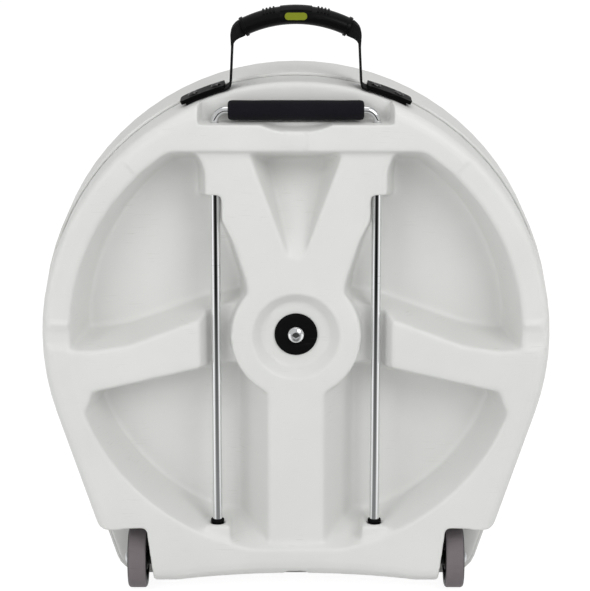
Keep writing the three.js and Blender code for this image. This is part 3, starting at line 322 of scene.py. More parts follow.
def ranged(tree, value, low, high, from_low=0.0, from_high=1.0):
    made = add_node(
        tree, "ShaderNodeMapRange", From_Min=from_low, From_Max=from_high, To_Min=low, To_Max=high)
    tree.links.new(value, made.inputs["Value"])
    return made.outputs[0]


def bumped(tree, height, strength, distance):
    made = add_node(tree, "ShaderNodeBump", Strength=strength, Distance=distance)
    tree.links.new(height, made.inputs["Height"])
    return made.outputs[0]


def new_material(name, **values):
    made = bpy.data.materials.new(name)
    made.use_nodes = True
    shader = made.node_tree.nodes["Principled BSDF"]
    for socket, value in values.items():
        shader.inputs[socket.replace("_", " ")].default_value = value
    return made, made.node_tree, shader


def object_place(tree):
    return tree.nodes.new("ShaderNodeTexCoord").outputs["Object"]


def moulded(name, shade, light, scuffed, roughness, grain, bump, **values):
    made, tree, shader = new_material(name, **values)
    skin = tree.nodes.new("ShaderNodeGroup")
    skin.node_tree = moulded_skin
    skin.inputs["Grain Scale"].default_value = grain
    tree.links.new(object_place(tree), skin.inputs["Place"])
    broad = ranged(tree, skin.outputs["Mottle"], 0, 1, 0.3, 0.7)
    colour = blended(tree, skin.outputs["Scuff"], blended(tree, broad, shade, light), scuffed)
    tree.links.new(colour, shader.inputs["Base Color"])
    tree.links.new(ranged(tree, skin.outputs["Mottle"], *roughness, 0.3, 0.7), shader.inputs["Roughness"])
    tree.links.new(bumped(tree, skin.outputs["Grain"], *bump), shader.inputs["Normal"])
    return made


white_plastic = moulded(
    "white_plastic", (0.685, 0.690, 0.672), (0.715, 0.718, 0.702), (0.62, 0.62, 0.60),
    roughness=(0.36, 0.50), grain=700.0, bump=(0.12, 0.0004), Specular_IOR_Level=0.4)


def clean_copy(node, name):
    source = nodes[node]
    mesh = source.data.copy()
    piece = bpy.data.objects.new(name, mesh)
    bpy.context.scene.collection.objects.link(piece)
    mesh.transform(source.matrix_world)
    form = bmesh.new()
    form.from_mesh(mesh)
    bmesh.ops.remove_doubles(form, verts=form.verts, dist=MERGE_DISTANCE)
    form.to_mesh(mesh)
    form.free()
    mesh.materials.clear()
    return piece


def dress(piece, material, body, slot, *replaced):
    piece.data.materials.clear()
    piece.data.materials.append(material)
    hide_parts(*replaced)
    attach(piece, body)
    return piece


def hollow_share(spot):
    """How far a point belongs to the recess in the back, whose edges are rounder than the others."""
    out = math.hypot(spot.x, spot.z - CENTRE_HEIGHT)
    spare = min(out - BOSS_KEPT, HOLLOW_EDGE - out, HOLLOW_TOP - spot.z, HOLLOW_FRONT - spot.y)
    return max(0, min(1, spare / HOLLOW_FADE))


def soften_more(piece, share, iterations):
    group = piece.vertex_groups.new(name="softer")
    for corner in piece.data.vertices:
        weight = share(corner.co)
        if weight > 0:
            group.add([corner.index], weight, "REPLACE")
    soften = piece.modifiers.new("soften_more", "SMOOTH")
    soften.factor = SMOOTHING
    soften.iterations = iterations
    soften.vertex_group = group.name
    bpy.ops.object.modifier_apply(modifier="soften_more")
    piece.vertex_groups.clear()


def softened_copy(node, name, voxel, softening, most_faces, softer=None):
    piece = clean_copy(node, name)
    make_active(piece)
    remesh = piece.modifiers.new("remesh", "REMESH")
    remesh.mode = "VOXEL"
    remesh.voxel_size = voxel
    soften = piece.modifiers.new("soften", "SMOOTH")
    soften.factor = SMOOTHING
    soften.iterations = softening
    for modifier in ("remesh", "soften"):
        bpy.ops.object.modifier_apply(modifier=modifier)
    if softer:
        soften_more(piece, *softer)
    thin = piece.modifiers.new("thin", "DECIMATE")
    faces = sum(len(face.vertices) - 2 for face in piece.data.polygons)
    thin.ratio = min(1, most_faces / faces)
    bpy.ops.object.modifier_apply(modifier="thin")
    bpy.ops.object.shade_smooth()
    return piece


shell_voxel = SHELL_VOXEL
base_moulding = softened_copy(
    "base_shell", "base_moulding", shell_voxel, SOFTENING, MOST_FACES, (hollow_share, HOLLOW_SOFTENING))
dress(base_moulding, white_plastic, "case", "shell_plastic", "base_shell")
lid_voxel = LID_VOXEL
lid_moulding = softened_copy("lid_shell", "lid_moulding", lid_voxel, LID_SOFTENING, MOST_FACES)
lid_edge = min(corner.co.y for corner in lid_moulding.data.vertices)
edge_reach = lid_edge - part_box("lid_shell")[0].y + LID_EDGE_LAP
facing = [corner.normal.copy() for corner in lid_moulding.data.vertices]
for corner, normal in zip(lid_moulding.data.vertices, facing):
    share = max(0, 1 - (corner.co.y - lid_edge) / LID_EDGE_BAND)
    outward = Vector((corner.co.x, 0, corner.co.z - CENTRE_HEIGHT)).normalized()
    if share and normal.dot(outward) < INWARD:
        corner.co += normal * LID_LIP_GROWTH * share
    corner.co.y -= edge_reach * share
dress(lid_moulding, white_plastic, "lid", "shell_plastic", "lid_shell")


# Foam linings: two pads of charcoal open-cell foam, cut to the shape of the floors that they are glued to.
# Bare foam has no cover, so it keeps its cut form, with edges that have softened.

LINING_VOXEL = 0.003
LINING_SOFTENING = 5
LINING_FACES = 60000

open_cells, given, made = new_group(
    "open_cells",
    [("Place", "NodeSocketVector", None), ("Cell Scale", "NodeSocketFloat", 600.0)],
    ["Depth", "Tone"],
)
cells = open_cells.nodes.new("ShaderNodeTexVoronoi")
open_cells.links.new(given.outputs["Place"], cells.inputs["Vector"])
open_cells.links.new(given.outputs["Cell Scale"], cells.inputs["Scale"])
broad = noise(open_cells, given.outputs["Place"], 30.0, 3.0)
open_cells.links.new(cells.outputs["Distance"], made.inputs["Depth"])
tone = worked_out(open_cells, "ADD", worked_out(open_cells, "MULTIPLY", cells.outputs["Distance"], 0.6),
                  worked_out(open_cells, "MULTIPLY", broad, 0.5), clamp=True)
open_cells.links.new(tone, made.inputs["Tone"])


def foamed(name, dark, light, cell, bump, **values):
    made, tree, shader = new_material(name, **values)
    foam = tree.nodes.new("ShaderNodeGroup")
    foam.node_tree = open_cells
    foam.inputs["Cell Scale"].default_value = cell
    tree.links.new(object_place(tree), foam.inputs["Place"])
    tree.links.new(blended(tree, foam.outputs["Tone"], light, dark), shader.inputs["Base Color"])
    tree.links.new(ranged(tree, foam.outputs["Tone"], 0.8, 0.98), shader.inputs["Roughness"])
    tree.links.new(bumped(tree, foam.outputs["Depth"], *bump), shader.inputs["Normal"])
    return made


lining_foam = foamed(
    "lining_foam", (0.012, 0.012, 0.014), (0.036, 0.036, 0.041), cell=480.0, bump=(0.9, 0.0012),
    Specular_IOR_Level=0.15, Sheen_Weight=0.25, Sheen_Roughness=0.5)

for node, name, body in (("base_floor_pad", "floor_lining", "case"), ("lid_pad", "lid_lining", "lid")):
    lining = softened_copy(node, name, LINING_VOXEL, LINING_SOFTENING, LINING_FACES)
    dress(lining, lining_foam, body, "lining_foam", node)


# Centre clamp: a chromed bolt with a domed socket head comes through a rubber washer at the back. Inside it
# carries a steel washer and lock nut, a spacer, two felt cushions that hold the cymbals, and a wing nut.

BOLT_Y = -0.0796
BOLT_HEAD_RADIUS = 0.0107
BOLT_HEAD_HEIGHT = 0.0065
BOLT_SHANK_RADIUS = 0.006
BOLT_LENGTH = 0.1496
BOLT_SOCKET_FLATS = 0.008
BOLT_SOCKET_DEPTH = 0.0035
THREAD_START = 0.078
THREAD_PITCH = 0.00175
THREAD_DEPTH = 0.0005
WASHER_BACK = -0.0793
WASHER_RADIUS = 0.0264
WASHER_THICKNESS = 0.003
BOLT_BORE = 0.0063
CUSHION_RADIUS = 0.022
CUSHION_THICKNESS = 0.012
TURNED_STEPS = 48
SMOOTH_ANGLE = math.radians(38)
FLAT_ANGLE = math.radians(0.5)
FELT_DARK = (0.045, 0.045, 0.048)
FELT_LIGHT = (0.085, 0.085, 0.09)


def turned(name, profile, centre, axis, steps=TURNED_STEPS):
    """Spins a profile of (radius, distance along the axis) points about an axis through centre."""
    deselect_all()
    bpy.ops.mesh.primitive_plane_add(size=0.002)
    piece = bpy.context.active_object
    piece.name = name
    bpy.ops.object.mode_set(mode="EDIT")
    bpy.ops.mesh.select_mode(type="VERT")
    bpy.ops.mesh.select_all(action="SELECT")
    bpy.ops.mesh.merge(type="CENTER")
    bpy.ops.transform.translate(value=(profile[0][0], 0, profile[0][1]))
    for before, after in zip(profile, profile[1:]):
        step = (after[0] - before[0], 0, after[1] - before[1])
        bpy.ops.mesh.extrude_region_move(TRANSFORM_OT_translate={"value": step})
    bpy.ops.mesh.select_all(action="SELECT")
    bpy.ops.mesh.spin(steps=steps, angle=2 * math.pi, center=(0, 0, 0), axis=(0, 0, 1))
    bpy.ops.mesh.select_all(action="SELECT")
    bpy.ops.mesh.remove_doubles(threshold=MERGE_DISTANCE)
    bpy.ops.mesh.normals_make_consistent(inside=False)
    bpy.ops.object.mode_set(mode="OBJECT")
    turn = Vector((0, 0, 1)).rotation_difference(Vector(axis)).to_matrix().to_4x4()
    piece.data.transform(Matrix.Translation(centre) @ turn)
    return piece


def round_edges(piece, width, segments=2, angle=SMOOTH_ANGLE):
    make_active(piece)
    bevel = piece.modifiers.new("bevel", "BEVEL")
    bevel.width = width
    bevel.segments = segments
    bevel.limit_method = "ANGLE"
    bevel.angle_limit = angle
    bevel.use_clamp_overlap = True
    bpy.ops.object.modifier_apply(modifier="bevel")
    bpy.ops.object.shade_smooth_by_angle(angle=angle)
    weigh = piece.modifiers.new("weigh", "WEIGHTED_NORMAL")
    weigh.keep_sharp = True
    bpy.ops.object.modifier_apply(modifier="weigh")
    return piece


def cut_out(piece, tool):
    make_active(piece)
    cut = piece.modifiers.new("cut", "BOOLEAN")
    cut.operation = "DIFFERENCE"
    cut.object = tool
    bpy.ops.object.modifier_apply(modifier="cut")
    bpy.data.objects.remove(tool)


def hard_copy(node, name, edge, segments=2):
    """A node's own form with its flat faces made whole and its edges rounded."""
    piece = clean_copy(node, name)
    make_active(piece)
    flat = piece.modifiers.new("flat", "DECIMATE")
    flat.decimate_type = "DISSOLVE"
    flat.angle_limit = FLAT_ANGLE
    bpy.ops.object.modifier_apply(modifier="flat")
    return round_edges(piece, edge, segments)


def domed_bolt(name, centre, axis, head, shank, socket, thread):
    """A bolt whose head rises against the axis from centre: head (radius, height), shank (radius, length)."""
    head_radius, head_height = head
    shank_radius, length = shank
    dome = [
        (head_radius * math.cos(math.radians(angle)), -head_height * math.sin(math.radians(angle)))
        for angle in range(90, 5, -6)
    ]
    dome[0] = (0, -head_height)
    profile = dome + [(head_radius, -0.0002), (head_radius, 0), (shank_radius, 0)]
    along = thread
    while along < length - 2 * THREAD_PITCH:
        profile += [(shank_radius, along), (shank_radius - THREAD_DEPTH, along + THREAD_PITCH / 2)]
        along += THREAD_PITCH
    profile += [(shank_radius, along), (shank_radius - THREAD_DEPTH, length), (0, length)]
    piece = turned(name, profile, (0, 0, 0), (0, 0, 1))
    flats, depth = socket
    deselect_all()
    bpy.ops.mesh.primitive_cylinder_add(
        vertices=6, radius=flats / math.sqrt(3), depth=2 * depth, location=(0, 0, -head_height))
    cut_out(piece, bpy.context.active_object)
    turn = Vector((0, 0, 1)).rotation_difference(Vector(axis)).to_matrix().to_4x4()
    piece.data.transform(Matrix.Translation(centre) @ turn)
    return round_edges(piece, 0.0003)


def polished(name, light, dark, roughness):
    made, tree, shader = new_material(name, Metallic=1.0)
    skin = tree.nodes.new("ShaderNodeGroup")
    skin.node_tree = moulded_skin
    skin.inputs["Grain Scale"].default_value = 500.0
    tree.links.new(object_place(tree), skin.inputs["Place"])
    tree.links.new(blended(tree, skin.outputs["Scuff"], light, dark), shader.inputs["Base Color"])
    worn = worked_out(tree, "ADD", worked_out(tree, "MULTIPLY", skin.outputs["Mottle"], 0.6),
                      worked_out(tree, "MULTIPLY", skin.outputs["Scuff"], 0.5))
    tree.links.new(ranged(tree, worn, *roughness), shader.inputs["Roughness"])
    tree.links.new(bumped(tree, skin.outputs["Grain"], 0.03, 0.0002), shader.inputs["Normal"])
    return made


chrome = polished("chrome", (0.80, 0.81, 0.82), (0.62, 0.63, 0.64), (0.03, 0.08))
steel = polished("steel", (0.56, 0.57, 0.58), (0.40, 0.40, 0.40), (0.22, 0.46))
black_rubber = moulded(
    "black_rubber", (0.0032, 0.0032, 0.0033), (0.0052, 0.0052, 0.0054), (0.012, 0.012, 0.012),
    roughness=(0.55, 0.75), grain=1600.0, bump=(0.25, 0.0003), Specular_IOR_Level=0.05)
black_plastic = moulded(
    "black_plastic", (0.0030, 0.0030, 0.0032), (0.0056, 0.0056, 0.0058), (0.018, 0.018, 0.018),
    roughness=(0.26, 0.40), grain=1100.0, bump=(0.18, 0.0003), Specular_IOR_Level=0.14)

bolt = domed_bolt(
    "clamp_bolt", (0, BOLT_Y, CENTRE_HEIGHT), (0, 1, 0), (BOLT_HEAD_RADIUS, BOLT_HEAD_HEIGHT),
    (BOLT_SHANK_RADIUS, BOLT_LENGTH), (BOLT_SOCKET_FLATS, BOLT_SOCKET_DEPTH), THREAD_START)
dress(bolt, chrome, "case", "chrome", "centre_bolt")

washer = turned(
    "rubber_washer",
    [(BOLT_BORE, 0.0004), (0.0120, 0), (WASHER_RADIUS - 0.002, 0), (WASHER_RADIUS, 0.0012),
     (WASHER_RADIUS, WASHER_THICKNESS), (BOLT_BORE, WASHER_THICKNESS), (BOLT_BORE, 0.0004)],
    (0, WASHER_BACK, CENTRE_HEIGHT), (0, 1, 0), 64)
round_edges(washer, 0.0006, 3, math.radians(15))
dress(washer, black_rubber, "case", "black_rubber", "outer_washer")

for node, name, edge, material, body, slot in (
    ("inner_washer", "inside_washer", 0.0004, steel, "case", "steel"),
    ("bolt_lock_nut", "lock_nut", 0.0008, steel, "case", "steel"),
    ("support_sleeve", "clamp_sleeve", 0.0006, black_plastic, "case", "black_plastic"),
    ("clamp_washer", "pressure_washer", 0.0004, steel, "clamp", "steel"),
    ("wing_nut", "wing_nut_casting", 0.0009, chrome, "wing_nut", "chrome"),
):
    dress(hard_copy(node, name, edge), material, body, slot, node)

felt, tree, shader = new_material("felt", Specular_IOR_Level=0.1, Roughness=0.97, Sheen_Weight=0.5,
                                  Sheen_Roughness=0.4)
place = object_place(tree)
tangle = add_node(tree, "ShaderNodeMapping", Rotation=(0.5, 0.3, 0.9), Scale=(1, 3.2, 1))
tree.links.new(place, tangle.inputs["Vector"])
hairs = noise(tree, tangle.outputs[0], 900.0, 5.0, 0.7)
matting = ranged(tree, hairs, 0, 1, 0.3, 0.7)
tree.links.new(blended(tree, matting, FELT_DARK, FELT_LIGHT), shader.inputs["Base Color"])
tree.links.new(bumped(tree, hairs, 0.9, 0.0012), shader.inputs["Normal"])

for node, name, body in (("lower_cushion", "lower_felt", "case"), ("upper_cushion", "upper_felt", "clamp")):
    crown = [(BOLT_BORE, 0.0015), (BOLT_BORE + 0.002, 0.0003), (0.012, 0), (0.0175, 0.0004), (0.0205, 0.0018)]
    half = crown + [(0.0217, 0.004), (CUSHION_RADIUS, CUSHION_THICKNESS / 2)]
    back = [(radius, CUSHION_THICKNESS - along) for radius, along in half[-2::-1]]
    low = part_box(node)[0]
    cushion = turned(name, half + back + [half[0]], (0, low.y, CENTRE_HEIGHT), (0, 1, 0))
    make_active(cushion)
    bpy.ops.object.shade_smooth()
    dress(cushion, felt, body, "felt", node)


# Pull handle: one chromed rod bent to a U, with a foam grip on its cross piece, slides in two chromed tubes.
# The tubes stand in rubber sockets at the foot of the recess and go up behind the ledge.

ROD_X = 0.098
ROD_Y = -0.077
ROD_RADIUS = 0.0045
ROD_FOOT = 0.1005
ROD_TOP = 0.6125
ROD_BEND = 0.014
ROD_SIDES = 32
BEND_STEPS = 16
GRIP_HALF = 0.082
GRIP_RADIUS = 0.012
GRIP_BORE = 0.0048
TUBE_RADIUS = 0.006
TUBE_BORE = 0.005
TUBE_SPAN = (0.0845, 0.5937)
SOCKET_FOOT = 0.0812
SOCKET_SEAT = 0.0920
SOCKET_RIM = 0.0957
SOCKET_BODY = 0.0073
SOCKET_FLANGE = 0.0083
SOCKET_BORE = 0.0063

deselect_all()
bpy.ops.mesh.primitive_circle_add(
    vertices=ROD_SIDES, radius=ROD_RADIUS, fill_type="NGON", location=(0, 0, 0))
rod = bpy.context.active_object
rod.name = "handle_rod"
rod.data.transform(Matrix.Translation((-ROD_X, ROD_Y, ROD_FOOT)))
bend_z = ROD_TOP - ROD_BEND
bpy.ops.object.mode_set(mode="EDIT")
bpy.ops.mesh.select_all(action="SELECT")
bpy.ops.mesh.extrude_region_move(TRANSFORM_OT_translate={"value": (0, 0, bend_z - ROD_FOOT)})
bpy.ops.mesh.spin(
    steps=BEND_STEPS, angle=-math.pi / 2, center=(ROD_BEND - ROD_X, ROD_Y, bend_z), axis=(0, 1, 0))
bpy.ops.mesh.extrude_region_move(TRANSFORM_OT_translate={"value": (2 * (ROD_X - ROD_BEND), 0, 0)})
bpy.ops.mesh.spin(
    steps=BEND_STEPS, angle=-math.pi / 2, center=(ROD_X - ROD_BEND, ROD_Y, bend_z), axis=(0, 1, 0))
bpy.ops.mesh.extrude_region_move(TRANSFORM_OT_translate={"value": (0, 0, ROD_FOOT - bend_z)})
bpy.ops.mesh.select_all(action="SELECT")
bpy.ops.mesh.remove_doubles(threshold=MERGE_DISTANCE)
bpy.ops.mesh.normals_make_consistent(inside=False)
bpy.ops.object.mode_set(mode="OBJECT")
make_active(rod)
bpy.ops.object.shade_smooth_by_angle(angle=SMOOTH_ANGLE)
dress(rod, chrome, "pull_handle", "chrome", "pull_handle_rod")

grip_foam = foamed(
    "grip_foam", (0.0060, 0.0056, 0.0078), (0.0120, 0.0112, 0.0150), cell=1500.0, bump=(0.55, 0.0005),
    Specular_IOR_Level=0.06, Sheen_Weight=0.04, Sheen_Roughness=0.5)
end = [(GRIP_BORE, 0.0006), (0.0078, 0), (0.0100, 0.0006), (0.0114, 0.0022), (GRIP_RADIUS, 0.005)]
swell = [(GRIP_RADIUS - 0.0002, 0.03), (GRIP_RADIUS, 0.055), (GRIP_RADIUS, GRIP_HALF)]
start = [(radius, along - GRIP_HALF) for radius, along in end + swell]
finish = [(radius, -along) for radius, along in start[-2::-1]]
grip = turned("foam_grip", start + finish + [start[0]], (0, ROD_Y, ROD_TOP), (1, 0, 0), 40)
make_active(grip)
bpy.ops.object.shade_smooth_by_angle(angle=math.radians(60))
dress(grip, grip_foam, "pull_handle", "grip_foam", "pull_handle_grip")

for side, sign in (("left", -1), ("right", 1)):
    low, high = TUBE_SPAN
    tube = turned(
        f"chromed_tube_{side}",
        [(TUBE_BORE, low), (TUBE_RADIUS, low), (TUBE_RADIUS, high), (TUBE_BORE, high), (TUBE_BORE, low)],
        (sign * ROD_X, ROD_Y, 0), (0, 0, 1))
    dress(round_edges(tube, 0.0002), chrome, "case", "chrome", f"guide_tube_{side}")
    socket = turned(
        f"rubber_socket_{side}",
        [(0, SOCKET_FOOT), (SOCKET_BODY - 0.0006, SOCKET_FOOT), (SOCKET_BODY, SOCKET_FOOT + 0.0012),
         (SOCKET_BODY, SOCKET_SEAT), (SOCKET_FLANGE, SOCKET_SEAT), (SOCKET_FLANGE, SOCKET_RIM - 0.001),
         (SOCKET_FLANGE - 0.0008, SOCKET_RIM), (SOCKET_BORE, SOCKET_RIM), (SOCKET_BORE, SOCKET_FOOT + 0.003),
         (0, SOCKET_FOOT + 0.003)],
        (sign * ROD_X, ROD_Y, 0), (0, 0, 1))
    dress(round_edges(socket, 0.0004), black_rubber, "case", "black_rubber", f"tube_socket_{side}")
    guide = hard_copy(f"rod_end_guide_{side}", f"rod_guide_{side}", 0.0006)
    dress(guide, black_plastic, "pull_handle", "black_plastic", f"rod_end_guide_{side}")


# Wheels: a grey polyurethane tread is cast round a black ribbed hub that runs on two ball bearings. Each
# turns on a bolt with a domed socket head, which goes through a spacer and the well's wall to a nut inside.

WHEEL_X = 0.199
WHEEL_Y = -0.06
WHEEL_Z = 0.038
WHEEL_RADIUS = 0.038
WHEEL_HALF = 0.012
TREAD_SEAT = 0.0333
TREAD_SHOULDER = 0.004
SIDE_WALL = 0.0012
HUB_RADIUS = 0.033
HUB_RIM_HALF = 0.0112
HUB_RIM_INNER = 0.0300
HUB_WEB_HALF = 0.0045
HUB_BOSS_RADIUS = 0.0155
HUB_BOSS_HALF = 0.0115
HUB_RIBS = 10
RIB_THICKNESS = 0.0022
RIB_HALF = 0.0092
BEARING_RADIUS = 0.011
BEARING_FACE = 0.0113
BEARING_SEAT = 0.0043
AXLE_RADIUS = 0.004
AXLE_HEAD = (0.008, 0.0055)
AXLE_LENGTH = 0.0453
AXLE_SOCKET = (0.005, 0.00275)

wheel_tread = moulded(
    "wheel_tread", (0.142, 0.124, 0.132), (0.178, 0.156, 0.166), (0.085, 0.078, 0.078),
    roughness=(0.48, 0.68), grain=850.0, bump=(0.3, 0.0005), Specular_IOR_Level=0.3)

for side, sign in (("left", -1), ("right", 1)):
    hub_centre = (sign * WHEEL_X, WHEEL_Y, WHEEL_Z)
    outward = (sign, 0, 0)
    body = f"wheel_{side}"
    shoulder = [(WHEEL_RADIUS - TREAD_SHOULDER * (1 - math.sin(math.radians(angle))),
                 WHEEL_HALF - TREAD_SHOULDER * (1 - math.cos(math.radians(angle))))
                for angle in range(0, 91, 15)]
    half = [(TREAD_SEAT, HUB_RIM_HALF)] + shoulder
    profile = half + [(radius, -along) for radius, along in reversed(half)] + [half[0]]
    tread = turned(f"tread_{side}", profile, hub_centre, outward, 96)
    make_active(tread)
    bpy.ops.object.shade_smooth_by_angle(angle=SMOOTH_ANGLE)
    dress(tread, wheel_tread, body, "wheel_tread", f"wheel_tyre_{side}")
    # The tread's two flat side faces take the black plastic, so each wheel shows black at its sides.
    tread.data.materials.append(black_plastic)
    for face in tread.data.polygons:
        aside = abs(face.center.x - hub_centre[0])
        face.material_index = 1 if aside > WHEEL_HALF - SIDE_WALL else 0

    half = [
        (BEARING_RADIUS - 0.002, BEARING_SEAT - 0.0003), (BEARING_RADIUS + 0.0003, BEARING_SEAT - 0.0003),
        (BEARING_RADIUS + 0.0003, HUB_BOSS_HALF), (HUB_BOSS_RADIUS - 0.0008, HUB_BOSS_HALF),
        (HUB_BOSS_RADIUS + 0.001, HUB_WEB_HALF), (HUB_RIM_INNER - 0.001, HUB_WEB_HALF),
        (HUB_RIM_INNER, HUB_RIM_HALF), (HUB_RADIUS, HUB_RIM_HALF),
    ]
    profile = half + [(radius, -along) for radius, along in reversed(half)] + [half[0]]
    hub = turned(f"hub_{side}", profile, hub_centre, outward, 64)
    round_edges(hub, 0.0005)
    ribs = []
    reach = HUB_RIM_INNER + 0.0005 - HUB_BOSS_RADIUS
    for count in range(HUB_RIBS):
        deselect_all()
        bpy.ops.mesh.primitive_cube_add(size=1)
        rib = bpy.context.active_object
        along = (HUB_RIM_INNER + 0.0005 + HUB_BOSS_RADIUS) / 2
        turn = Matrix.Rotation(2 * math.pi * count / HUB_RIBS, 4, "X")
        size = Matrix.Diagonal((2 * RIB_HALF, RIB_THICKNESS, reach, 1))
        rib.data.transform(Matrix.Translation(hub_centre) @ turn @ Matrix.Translation((0, 0, along)) @ size)
        ribs.append(round_edges(rib, 0.0005))
    deselect_all()
    for rib in ribs:
        rib.select_set(True)
    hub.select_set(True)
    bpy.context.view_layer.objects.active = hub
    bpy.ops.object.join()
    dress(hub, black_plastic, body, "black_plastic", f"wheel_hub_{side}")

    for place_name, facing in (("outer", sign), ("inner", -sign)):
        race = [
            (AXLE_RADIUS + 0.0003, BEARING_FACE), (0.0058, BEARING_FACE), (0.0061, BEARING_FACE - 0.0005),
            (0.0091, BEARING_FACE - 0.0005), (0.0094, BEARING_FACE), (BEARING_RADIUS, BEARING_FACE),
            (BEARING_RADIUS, BEARING_SEAT), (AXLE_RADIUS + 0.0003, BEARING_SEAT),
            (AXLE_RADIUS + 0.0003, BEARING_FACE),
        ]
        bearing = turned(f"{place_name}_race_{side}", race, hub_centre, (facing, 0, 0))
        round_edges(bearing, 0.0002)
        dress(bearing, steel, body, "steel", f"{place_name}_bearing_{side}")

    head_place = (sign * (WHEEL_X + BEARING_FACE + 0.0003), WHEEL_Y, WHEEL_Z)
    axle = domed_bolt(
        f"axle_{side}", head_place, (-sign, 0, 0), AXLE_HEAD, (AXLE_RADIUS, AXLE_LENGTH), AXLE_SOCKET, 0.035)
    dress(axle, steel, "case", "steel", f"axle_bolt_{side}")
    for node, name, edge, material, slot in (
        ("bearing_spacer", "bearing_tube", 0.0003, steel, "steel"),
        ("axle_spacer", "well_spacer", 0.0006, black_plastic, "black_plastic"),
        ("axle_nut", "well_nut", 0.0006, steel, "steel"),
    ):
        dress(hard_copy(f"{node}_{side}", f"{name}_{side}", edge), material, "case", slot, f"{node}_{side}")


# Carry handle: a strip of black polypropylene webbing goes through a moulded rubber grip, is gathered into
# folds where it leaves it, and comes down in two legs that are held under riveted plates.

STRAP_Y = -0.044
ARC_CENTRE_Z = 0.579
ARC_RADIUS = 0.144
ARC_HALF = math.radians(26.39)
SHELL_RADIUS = 0.311
WEBBING_THICKNESS = 0.0025
WEBBING_WIDTH = 0.038
FOLDED_WIDTH = 0.024
FOLD_THICKNESS = (0.0165, 0.0160, 0.0150, 0.0128, 0.0095, 0.0060, 0.0038, 0.0027)
FOLD_START = math.radians(3.4)
FOLD_BEND = 0.023
FOLD_WIDENING = 1.5
FOLD_PLEAT = 0.16
PLEAT_WAVES = 2.5
ARC_COVERED = 0.97
ARC_PARTS = 8
LEG_PARTS = 6
FOOT_PARTS = 8
LEG_X = 0.079
FOOT_END_X = 0.1327
FOOT_TURN = 0.005
FOOT_TURN_HEIGHT = 0.006
FOOT_TURN_SHARES = (0.35, 0.7)
FOOT_TURN_CURVE = 2.2
WEAVE_PITCH = 0.0016
WEAVE_RIB = 0.0030

woven, given, made = new_group(
    "woven",
    [("Along", "NodeSocketFloat", 0.0), ("Across", "NodeSocketFloat", 0.0),
     ("Pitch", "NodeSocketFloat", WEAVE_PITCH), ("Rib", "NodeSocketFloat", WEAVE_RIB)],
    ["Height", "Thread"],
)
ribs = worked_out(woven, "DIVIDE", given.outputs["Across"], given.outputs["Rib"])
slant = worked_out(woven, "PINGPONG", ribs, 1.0)
rows = worked_out(woven, "DIVIDE", given.outputs["Along"], given.outputs["Pitch"])
turns = worked_out(woven, "ADD", rows, slant)
yarn = worked_out(woven, "ABSOLUTE", worked_out(
    woven, "SINE", worked_out(woven, "MULTIPLY", turns, math.pi)))
valley = worked_out(woven, "ABSOLUTE", worked_out(
    woven, "SINE", worked_out(woven, "MULTIPLY", ribs, math.pi)))
height = worked_out(woven, "MULTIPLY", yarn, worked_out(
    woven, "ADD", worked_out(woven, "MULTIPLY", valley, 0.5), 0.5))
woven.links.new(height, made.inputs["Height"])
woven.links.new(yarn, made.inputs["Thread"])

webbing, tree, shader = new_material(
    "webbing", Specular_IOR_Level=0.12, Sheen_Weight=0.04, Sheen_Roughness=0.4)
split = tree.nodes.new("ShaderNodeSeparateXYZ")
tree.links.new(tree.nodes.new("ShaderNodeUVMap").outputs[0], split.inputs[0])
weave = tree.nodes.new("ShaderNodeGroup")
weave.node_tree = woven
tree.links.new(split.outputs["X"], weave.inputs["Across"])
tree.links.new(split.outputs["Y"], weave.inputs["Along"])
worn = noise(tree, object_place(tree), 60.0, 3.0)
thread_tone = worked_out(tree, "MULTIPLY", weave.outputs["Height"], worn)
tree.links.new(blended(tree, thread_tone, (0.002, 0.002, 0.0022), (0.014, 0.014, 0.015)),
               shader.inputs["Base Color"])
tree.links.new(ranged(tree, weave.outputs["Thread"], 0.85, 0.55), shader.inputs["Roughness"])
tree.links.new(bumped(tree, weave.outputs["Height"], 0.8, 0.0005), shader.inputs["Normal"])

BAND_RING = (
    (-1, 0.5), (-0.97, 1), (-0.8, 1), (-0.6, 1), (-0.4, 1), (-0.2, 1), (0, 1), (0.2, 1), (0.4, 1), (0.6, 1),
    (0.8, 1), (0.97, 1), (1, 0.5), (1, -0.5), (0.97, -1), (0.8, -1), (0.6, -1), (0.4, -1), (0.2, -1), (0, -1),
    (-0.2, -1), (-0.4, -1), (-0.6, -1), (-0.8, -1), (-0.97, -1), (-1, -0.5),
)


